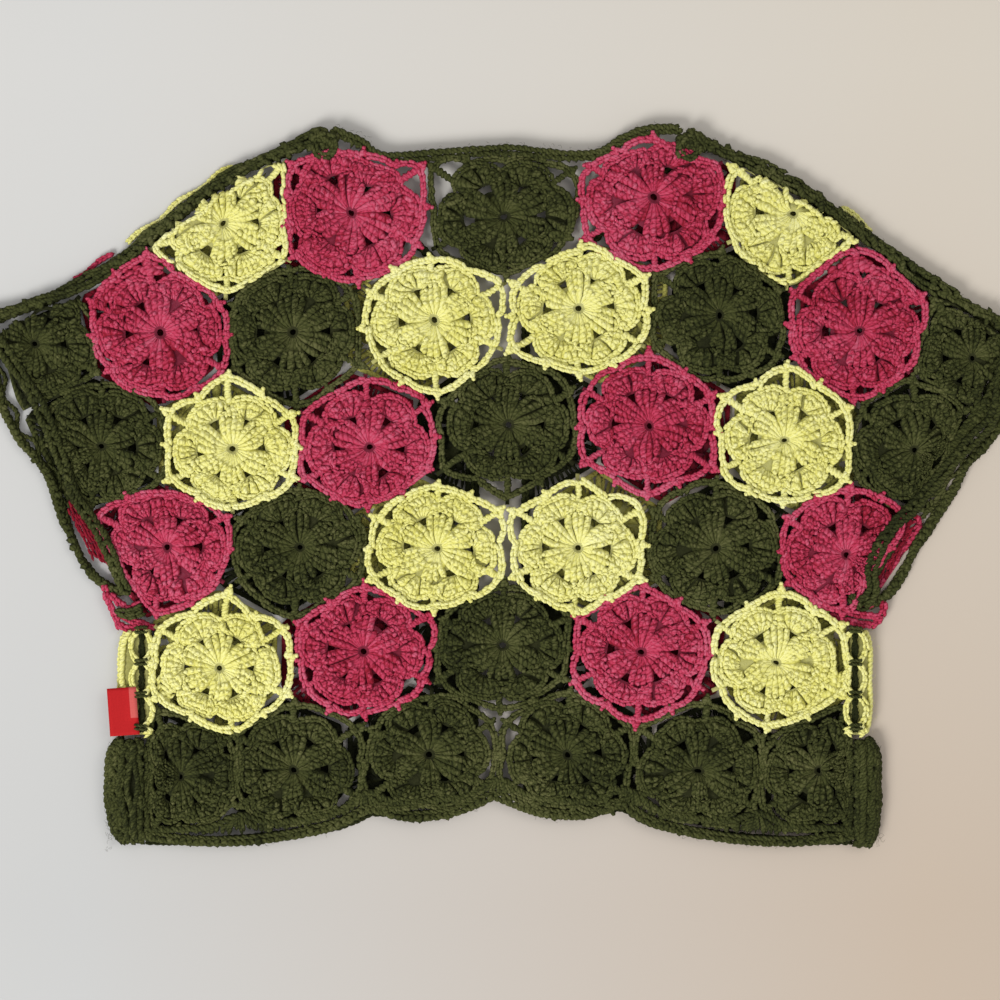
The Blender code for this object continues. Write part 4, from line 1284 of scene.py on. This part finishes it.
def front_edge_stitches(side):
    """The thin border along a front's opening and hem."""
    name = side["name"]
    yarn = Yarn(SEEDS["front_edge"] + 10 * side["sign"])
    edge = front_edge(side)
    ropes_along(yarn, edge, (-0.8, 1.0), (2.8, 2.4), (1.4, 1.3), high=0.8, wobble=0.1, tint=-1.5)
    yarn.piece(f"stitches_edge_front_{name}", "G", (f"front_border_{name}",))


for side in SIDES:
    for stitch in (shoulder_stitches, back_cuff_stitches, front_cuff_stitches, past_cuff_stitches,
                   front_edge_stitches):
        stitch(side)


def neck_stitches():
    """The border along the back's neck."""
    yarn = Yarn(SEEDS["neck"])
    neck = smooth(BACK_NECK, 8)
    ropes_along(yarn, neck, (-1.3, -3.6), (3.3, 2.9), (5.2, 4.8), wobble=0.2)
    overcast(yarn, neck, -2.2, -7.0, 4.9, every=3.4, lean=0.5, wide=1.1, share=0.85)
    fibres(yarn, neck, 80)
    yarn.piece("stitches_neck", "G", ("neck_border_back",))


def hem_stitches():
    """The back's hem: a scalloped cord below, another above, ribs between them and fans under the motifs."""
    yarn = Yarn(SEEDS["hem"])
    last = len(ROWS) - 1
    middles = [centre(last, k)[0] for k in row_keys(last)]
    between = [(a + b) / 2 for a, b in zip(middles, middles[1:])]
    x = np.linspace(SIDES[0]["hem_seam_x"] + GAP, SIDES[1]["hem_seam_x"] - GAP, 181)
    share = np.interp(x, SCALLOP_ENDS, range(len(SCALLOP_ENDS))) % 1.0
    rise = hem_rise(x)
    deep = HEM_BORDER + 0.5 - SCALLOP * (1 - np.sin(np.pi * share) ** 0.6)
    flat = np.column_stack((x, hem_inner(x) + rise))
    low_line = flat - np.column_stack((0 * x, deep - 1.5))
    ropes_along(yarn, low_line, (0.0,), (3.3,), (5.0,), wobble=0.15)
    ropes_along(yarn, low_line, (2.4,), (2.6,), (4.7,), wobble=0.2)
    rise = 1.4 + sum(5.6 * np.exp(-((x - at) / 8.5) ** 2) for at in between)
    upper = flat + np.column_stack((0 * x, rise))
    ropes_along(yarn, upper, (0.0,), (3.4,), (5.3,), wobble=0.4)
    ribs = 150
    starts = spaced(upper, ribs) + yarn.rng.normal(0, 0.3, (ribs, 2)) + (0.0, 0.4)
    ends = spaced(low_line, ribs) + np.column_stack((yarn.rng.normal(0, 0.9, ribs),
                                                     yarn.rng.uniform(2.8, 5.0, ribs)))
    steep = starts[:, 1] - ends[:, 1] > 1.2
    yarn.grains(raised(starts, 4.7)[steep], raised(ends, 4.5)[steep], 1.25, 1.0, arch=0.25, jitter=0.3,
                tint=-0.5)
    overcast(yarn, shifted(low_line, 1.0), 2.2, -2.8, 4.9, every=3.0, lean=0.5, wide=1.6, share=0.95)
    for station in between:
        foot = np.array((station, float(hem_inner(station) + hem_rise(station))))
        top = foot + (0.0, 9.0)
        spread = np.linspace(-8.5, 8.5, 9)
        ends = np.column_stack((foot[0] + spread, foot[1] - 1.0 + 0 * spread))
        starts = np.column_stack((top[0] + spread * 0.35, top[1] - np.abs(spread) * 0.45))
        yarn.grains(raised(starts, 5.3), raised(ends, 4.6), 0.95, 0.9, arch=0.5, jitter=0.4)
    fibres(yarn, low_line, 240)
    yarn.piece("stitches_hem", "G", ("hem_border_back",))


neck_stitches()
hem_stitches()

# ---------------------------------------------------------------- side folds, lacing and label


class Roll:
    """The rounded surface of a fold along a side: across runs from 0 at its foot to 1 at the seam on top."""

    def __init__(self, side, seam_x, fold_x, low_y, high_y, height, lower_end=5.0):
        self.sign, self.seam_x, self.fold_x, self.lower_end = side["sign"], seam_x, fold_x, lower_end
        self.low_y, self.high_y, self.height = low_y, high_y, height

    def at(self, across, along, deep=0.0):
        """Points and outward directions; along runs from 0 at the upper end to 1 at the lower, and deep is
        how far under the surface the points lie."""
        across, along, deep = np.broadcast_arrays(across, np.clip(along, 0.01, 0.99), deep)
        ends = (1 - np.abs(2 * along - 1) ** np.where(along > 0.5, self.lower_end, 5.0)) ** 0.5
        radius = self.height / 2
        bend = self.fold_x - self.sign * radius
        flat = abs(bend - self.seam_x)
        total = flat + math.pi * radius
        run = across * total
        angle = np.clip(run / radius, 0, math.pi) - math.pi / 2
        x = bend + self.sign * radius * np.cos(angle) - self.sign * np.maximum(run - math.pi * radius, 0)
        z = radius + radius * np.sin(angle)
        facing = np.stack((self.sign * np.cos(angle), 0 * x, np.sin(angle)), -1)
        x = self.seam_x + (x - self.seam_x) * (0.45 + 0.55 * ends)
        z = radius + (z - radius) * (0.35 + 0.65 * ends)
        y = self.high_y + (self.low_y - self.high_y) * along
        point = np.stack((x, y, z), -1) - facing * deep[..., None]
        point[..., 2] = np.maximum(point[..., 2], 0.7)
        return point, facing


HEM_FOLD_RISE = {"left": 2.4, "right": 0.6}      # how far each lower end stops short of the CAD's
HEM_FOLD_END = {"left": 2.0, "right": 2.6}       # and how blunt it is
FOLD_SLIT = (0.84, 0.44, 0.07, 0.17)     # across and along the left hem fold, and half its two sizes
PUFFS, PUFF_LENGTH = 620, 4.4            # the plump stitches on a hem fold


def puffy_stitches(yarn, roll, slit=None):
    """Plump stitches all over a roll, most of them along it, but none in its slit."""
    rng, count = yarn.rng, PUFFS
    across, along = rng.random(count), rng.uniform(0.02, 0.98, count)
    if slit:
        out = np.hypot((across - slit[0]) / slit[2], (along - slit[1]) / slit[3]) > 1
        across, along, count = across[out], along[out], int(out.sum())
    middle, facing = roll.at(across, along, 0.9 + rng.uniform(-0.2, 0.5, count))
    sideways = unit(np.cross(facing, (0.0, 1.0, 0.0)))
    turn = rng.normal(0, 0.6, count)[:, None]
    half = (np.cos(turn) * (0.0, 1.0, 0.0) + np.sin(turn) * sideways) * PUFF_LENGTH / 2
    yarn.grains(middle - half, middle + half, 1.1 * rng.uniform(0.8, 1.2, count), 0.95, arch=0.45, up=facing)


def roll_core(name, roll, colour):
    """The cloth of a fold, under its stitches and in painted shade: its rounded surface, closed by a row of
    feet at the seam.
    """
    along, across = np.linspace(0.02, 0.98, 14), np.linspace(0, 1, 13)
    size = len(across) + 1
    feet = [(roll.seam_x, roll.high_y + (roll.low_y - roll.high_y) * a, 0.9) for a in along]
    points = np.vstack([np.vstack((roll.at(across, a, 1.1)[0], foot)) for a, foot in zip(along, feet)])
    ends = [tuple(range(size)), tuple(range(len(points) - size, len(points)))]
    faces = grid_faces(len(along), size) + ends
    add_object(name, new_mesh(name, points, faces, [SHADED[colour]]), SLOTS[colour])


LACE_PLACE = {"left": 4.2, "right": 2.4}  # from the seam out to the lacing
LACE_TOP, LACE_STEP = -64.0, 14.6         # the first bar over the lacing, and from one to the next
LACE_BAR = np.array((-3.3, 0.0, 3.3))     # the places along a bar


def cord_over(yarn, roll, stations, width, **more):
    """A cord over a roll through (across, along, how deep) stations."""
    yarn.cord(roll.at(*smooth(stations, 6).T)[0], width, **more)


def side_fold_stitches(side):
    """The front's yellow yarn on the side fold, with the loops that the lacing holds."""
    name, sign = side["name"], side["sign"]
    yarn = Yarn(SEEDS["side_fold"] + sign)
    roll = Roll(side, side["seam_x"] + sign * GAP, side["fold_x"], FOLD_SPLIT_Y, FOLD_TOP_Y, FOLD_HEIGHT)
    rng = yarn.rng
    stations = [(0.42 + rng.normal(0, 0.02), a, 0.5) for a in np.linspace(0.03, 0.97, 9)]
    line, facing = roll.at(*smooth(stations, 6).T)
    yarn.cord(line, 3.0, twist=5.0, high=1.1, up=facing.mean(0), tint=0.2)
    lace_x = side["seam_x"] + sign * LACE_PLACE[name]
    for high_y in np.arange(LACE_TOP, FOLD_SPLIT_Y, -LACE_STEP):
        for hand in (-1, 1):
            if name == "left" and hand < 0 and high_y < LABEL_PLACE[1] + LABEL_SIZE[1] / 2 + LACE_STEP / 2:
                continue
            low_y = max(high_y - LACE_STEP, FOLD_SPLIT_Y + 1.0)
            wide = rng.uniform(4.4, 5.6)
            places = ((1.7, 0.04, 0.6), (0.75 * wide, 0.22, 0.2), (wide, 0.5, -0.1),
                      (0.75 * wide, 0.78, 0.2), (1.7, 0.96, 0.6))
            loop = [(lace_x + hand * out, high_y + (low_y - high_y) * share, FOLD_HEIGHT + lift)
                    for out, share, lift in places]
            yarn.chain(smooth(loop, 5), 3.4, pitch=2.8, high=1.0, jitter=0.25, tint=0.6)
    for across in (0.08, 0.22):
        stations = [(across, a, 0.4) for a in np.linspace(0.03, 0.97, 9)]
        cord_over(yarn, roll, stations, 2.8, twist=5.0, high=1.0)
    fibres(yarn, np.array(((side["fold_x"], FOLD_TOP_Y), (side["fold_x"], FOLD_SPLIT_Y))), 24)
    roll_core(f"side_core_{name}", roll, "Y")
    yarn.piece(f"stitches_side_{name}", "Y", (f"side_fold_{name}",))


def hem_fold_stitches(side):
    """The thick roll of the hem: puffy stitches, cords along it and, on the left, an open slit."""
    name, sign = side["name"], side["sign"]
    yarn = Yarn(SEEDS["hem_fold"] + sign)
    low_y = FOLD_LOW_Y + HEM_FOLD_RISE[name]
    roll = Roll(side, side["hem_seam_x"], side["hem_fold_x"], low_y, FOLD_SPLIT_Y - GAP, HEM_FOLD_HEIGHT,
                HEM_FOLD_END[name])
    slit = FOLD_SLIT if name == "left" else None
    puffy_stitches(yarn, roll, slit)
    for across in (0.30, 0.62):
        stations = [(across + yarn.rng.normal(0, 0.03), a, 0.2) for a in np.linspace(0.06, 0.94, 8)]
        cord_over(yarn, roll, stations, 3.2, twist=6.0, high=1.1)
    gape, places = 0.085 if slit else 0.02, np.linspace(0.04, 0.96, 12)
    for hand in (-1, 1):
        bowed = [0.015 + gape * math.exp(-((a - FOLD_SLIT[1]) / 0.16) ** 2) for a in places]
        stations = [(FOLD_SLIT[0] + hand * out, a, -0.2) for out, a in zip(bowed, places)]
        cord_over(yarn, roll, stations, 2.9, twist=5.0, high=1.1)
    for inside in (-0.6, 1.6, 3.4):
        y = np.linspace(FOLD_SPLIT_Y - 4, low_y + 4, 12)
        x = side["hem_seam_x"] - sign * inside + yarn.rng.normal(0, 0.7, 12)
        yarn.cord(smooth(np.column_stack((x, y, 5.8 - 0.4 * inside + 0 * y)), 4), 3.0, twist=5.0, high=1.1)
    edge_x = side["hem_fold_x"] - sign * 1.5
    fibres(yarn, np.array(((edge_x, FOLD_SPLIT_Y - 3), (edge_x, FOLD_LOW_Y + 1))), 120)
    roll_core(f"hem_core_{name}", roll, "G")
    yarn.piece(f"stitches_hem_fold_{name}", "G", (f"hem_fold_{name}",))


def lacing_stitches(side):
    """The green cord up a side and its cross bars."""
    name, sign = side["name"], side["sign"]
    yarn = Yarn(SEEDS["lacing"] + sign)
    top = FOLD_HEIGHT + 0.9
    middle = side["seam_x"] + sign * LACE_PLACE[name]
    y = np.linspace(FOLD_TOP_Y - 1.0, FOLD_SPLIT_Y + 2.0, 14)
    for shift in (-0.8, 0.8):
        x = middle + shift * np.cos(y / LACE_STEP * TURN)
        line = np.column_stack((x, y, top - 1.6 + 0.2 * shift + 0 * y))
        yarn.cord(smooth(line, 4), 2.2, twist=4.0, high=0.7, tint=-2.2)
    for bar_y in np.arange(LACE_TOP, FOLD_SPLIT_Y, -LACE_STEP):
        for step in (-0.9, 0.9):
            ends = yarn.rng.uniform(-0.3, 0.3, 3) + bar_y + step
            bar = np.column_stack((middle + LACE_BAR, ends, top + np.array((0.2, 0.9, 0.2))))
            yarn.cord(smooth(bar, 5), 1.9, twist=3.0, high=0.8, tint=0.5)
    yarn.piece(f"stitches_lacing_{name}", "G", (f"side_lacing_{name}",))


for side in SIDES:
    side_fold_stitches(side)
    hem_fold_stitches(side)
    lacing_stitches(side)


def label_material(name, dark, light):
    """Woven tape, between a dark and a light tone."""
    add, _, _, ramp, finish = node_tools(name)
    place = add("ShaderNodeTexCoord").outputs["Object"]
    weave = add("ShaderNodeTexNoise", {"Vector": place, "Scale": 1600.0, "Detail": 2.0}).outputs["Fac"]
    return finish(ramp(weave, (dark, light)), weave, 0.3, 0.0002, Roughness=0.75, Specular_IOR_Level=0.1)


LABEL_WIDER, LABEL_SHIFT, LABEL_LIFT = 1.2, 0.9, 0.5     # against the CAD's label


def make_label():
    """The bare label: a thin ribbon on the fold, which lifts a little at one corner."""
    wide, long, thick = LABEL_SIZE
    columns, rows = 9, 15
    across, along = np.meshgrid(np.linspace(-0.5, 0.5, columns), np.linspace(-0.5, 0.5, rows))
    curl = 0.35 * np.sin(along * 4.0 + 0.6) * (across + 0.5) + 0.3 * across ** 2
    curl = curl + np.where((across > 0.2) & (along > -0.15), 0.35, 0.0)
    x, y = across * (wide + LABEL_WIDER), along * long
    c, s = math.cos(LABEL_TURN), math.sin(LABEL_TURN)
    points = np.stack((LABEL_PLACE[0] + LABEL_SHIFT + x * c - y * s, LABEL_PLACE[1] + x * s + y * c,
                       FOLD_HEIGHT + GAP + thick / 2 + LABEL_LIFT + curl), -1).reshape(-1, 3)
    mesh = new_mesh("label_ribbon", points, grid_faces(rows, columns, closed=False), [
        label_material("label_cloth", (0.33, 0.008, 0.010), (0.45, 0.014, 0.016)),
        label_material("label_lit_end", (0.46, 0.070, 0.062), (0.56, 0.110, 0.100))])
    for face in mesh.polygons:      # painted highlight: its raised end has a lighter tone where it lifts
        row, column = divmod(face.vertices[0], columns)
        face.material_index = int(column > 5 and row > 4)
    obj = add_object("label_ribbon", mesh, SLOTS["R"], ("side_label",))
    obj.modifiers.new("thickness", "SOLIDIFY").thickness = 0.3 * MM


make_label()

# ---------------------------------------------------------------- floor, light and camera

# painted light and shade on the paper: lighter above than below, and warmer on the right
FLOOR_LIGHT_TONES = (((0.445, 0.449, 0.449), (0.468, 0.386, 0.310)),      # left and right, below the cardigan
               ((0.567, 0.566, 0.557), (0.577, 0.531, 0.464)))      # and above it
FLOOR_LIGHT_TONES_REACH = 0.19    # metres from the middle
FLOOR_HALF, FLOOR_DROP = 2.0, 0.0002


def make_stage():
    """The paper that the cardigan lies on, with painted light and shade: its tone drifts from side to side
    and from end to end.
    """
    mesh = bpy.data.meshes.new("floor")
    corners = [(x * FLOOR_HALF, y * FLOOR_HALF, 0) for x, y in ((-1, -1), (1, -1), (1, 1), (-1, 1))]
    mesh.from_pydata(corners, [], [(0, 1, 2, 3)])
    floor = bpy.data.objects.new("floor", mesh)
    floor.location.z = -FLOOR_DROP
    bpy.context.scene.collection.objects.link(floor)
    add, _, span, ramp, finish = node_tools("floor_paper")
    place = add("ShaderNodeTexCoord").outputs["Object"]
    split = add("ShaderNodeSeparateXYZ", {0: place})
    across, along = (span(split.outputs[axis], -FLOOR_LIGHT_TONES_REACH, FLOOR_LIGHT_TONES_REACH) for axis in "XY")
    near, far = (ramp(across, tones) for tones in FLOOR_LIGHT_TONES)
    mix = add("ShaderNodeMixRGB", {"Fac": along, "Color1": near, "Color2": far})
    mesh.materials.append(finish(mix.outputs["Color"], Roughness=0.7))


def area_light(name, place, size, power, tint):
    """A round light that faces the middle of the floor."""
    light = bpy.data.lights.new(name, "AREA")
    light.shape = "DISK"
    light.size = size
    light.energy = power
    light.color = tint
    obj = bpy.data.objects.new(name, light)
    bpy.context.scene.collection.objects.link(obj)
    obj.location = place
    obj.rotation_euler = (-Vector(place)).to_track_quat("-Z", "Y").to_euler()


def make_light():
    """Even light from all round, a key from the lower left and a weaker fill."""
    world = bpy.data.worlds.new("studio")
    bpy.context.scene.world = world
    world.use_nodes = True
    background = world.node_tree.nodes["Background"].inputs
    background["Color"].default_value = (1.0, 1.0, 1.0, 1.0)
    background["Strength"].default_value = 0.55
    area_light("key", (-1.1, -1.3, 1.5), 1.0, 45.0, (1.0, 0.99, 0.97))
    area_light("fill", (1.2, 0.6, 1.8), 1.4, 10.0, (1.0, 0.96, 0.90))


SENSOR = 36.0
DISTANCE, VIEW = 0.90, 0.450            # metres from the cloth's top to the camera, and across the view there
CLOTH, VIEW_Y = 0.005, -0.00585         # the height of the cloth's top, and the middle of the view


def make_camera():
    """Straight above, as far off as makes the photograph's view."""
    data = bpy.data.cameras.new("camera")
    camera = bpy.data.objects.new("camera", data)
    bpy.context.scene.collection.objects.link(camera)
    data.sensor_width = SENSOR
    data.lens = SENSOR * DISTANCE / VIEW
    camera.location = (0.0, VIEW_Y, CLOTH + DISTANCE)
    bpy.context.scene.camera = camera


make_stage()
make_light()
make_camera()
bpy.context.scene.view_settings.view_transform = "Standard"
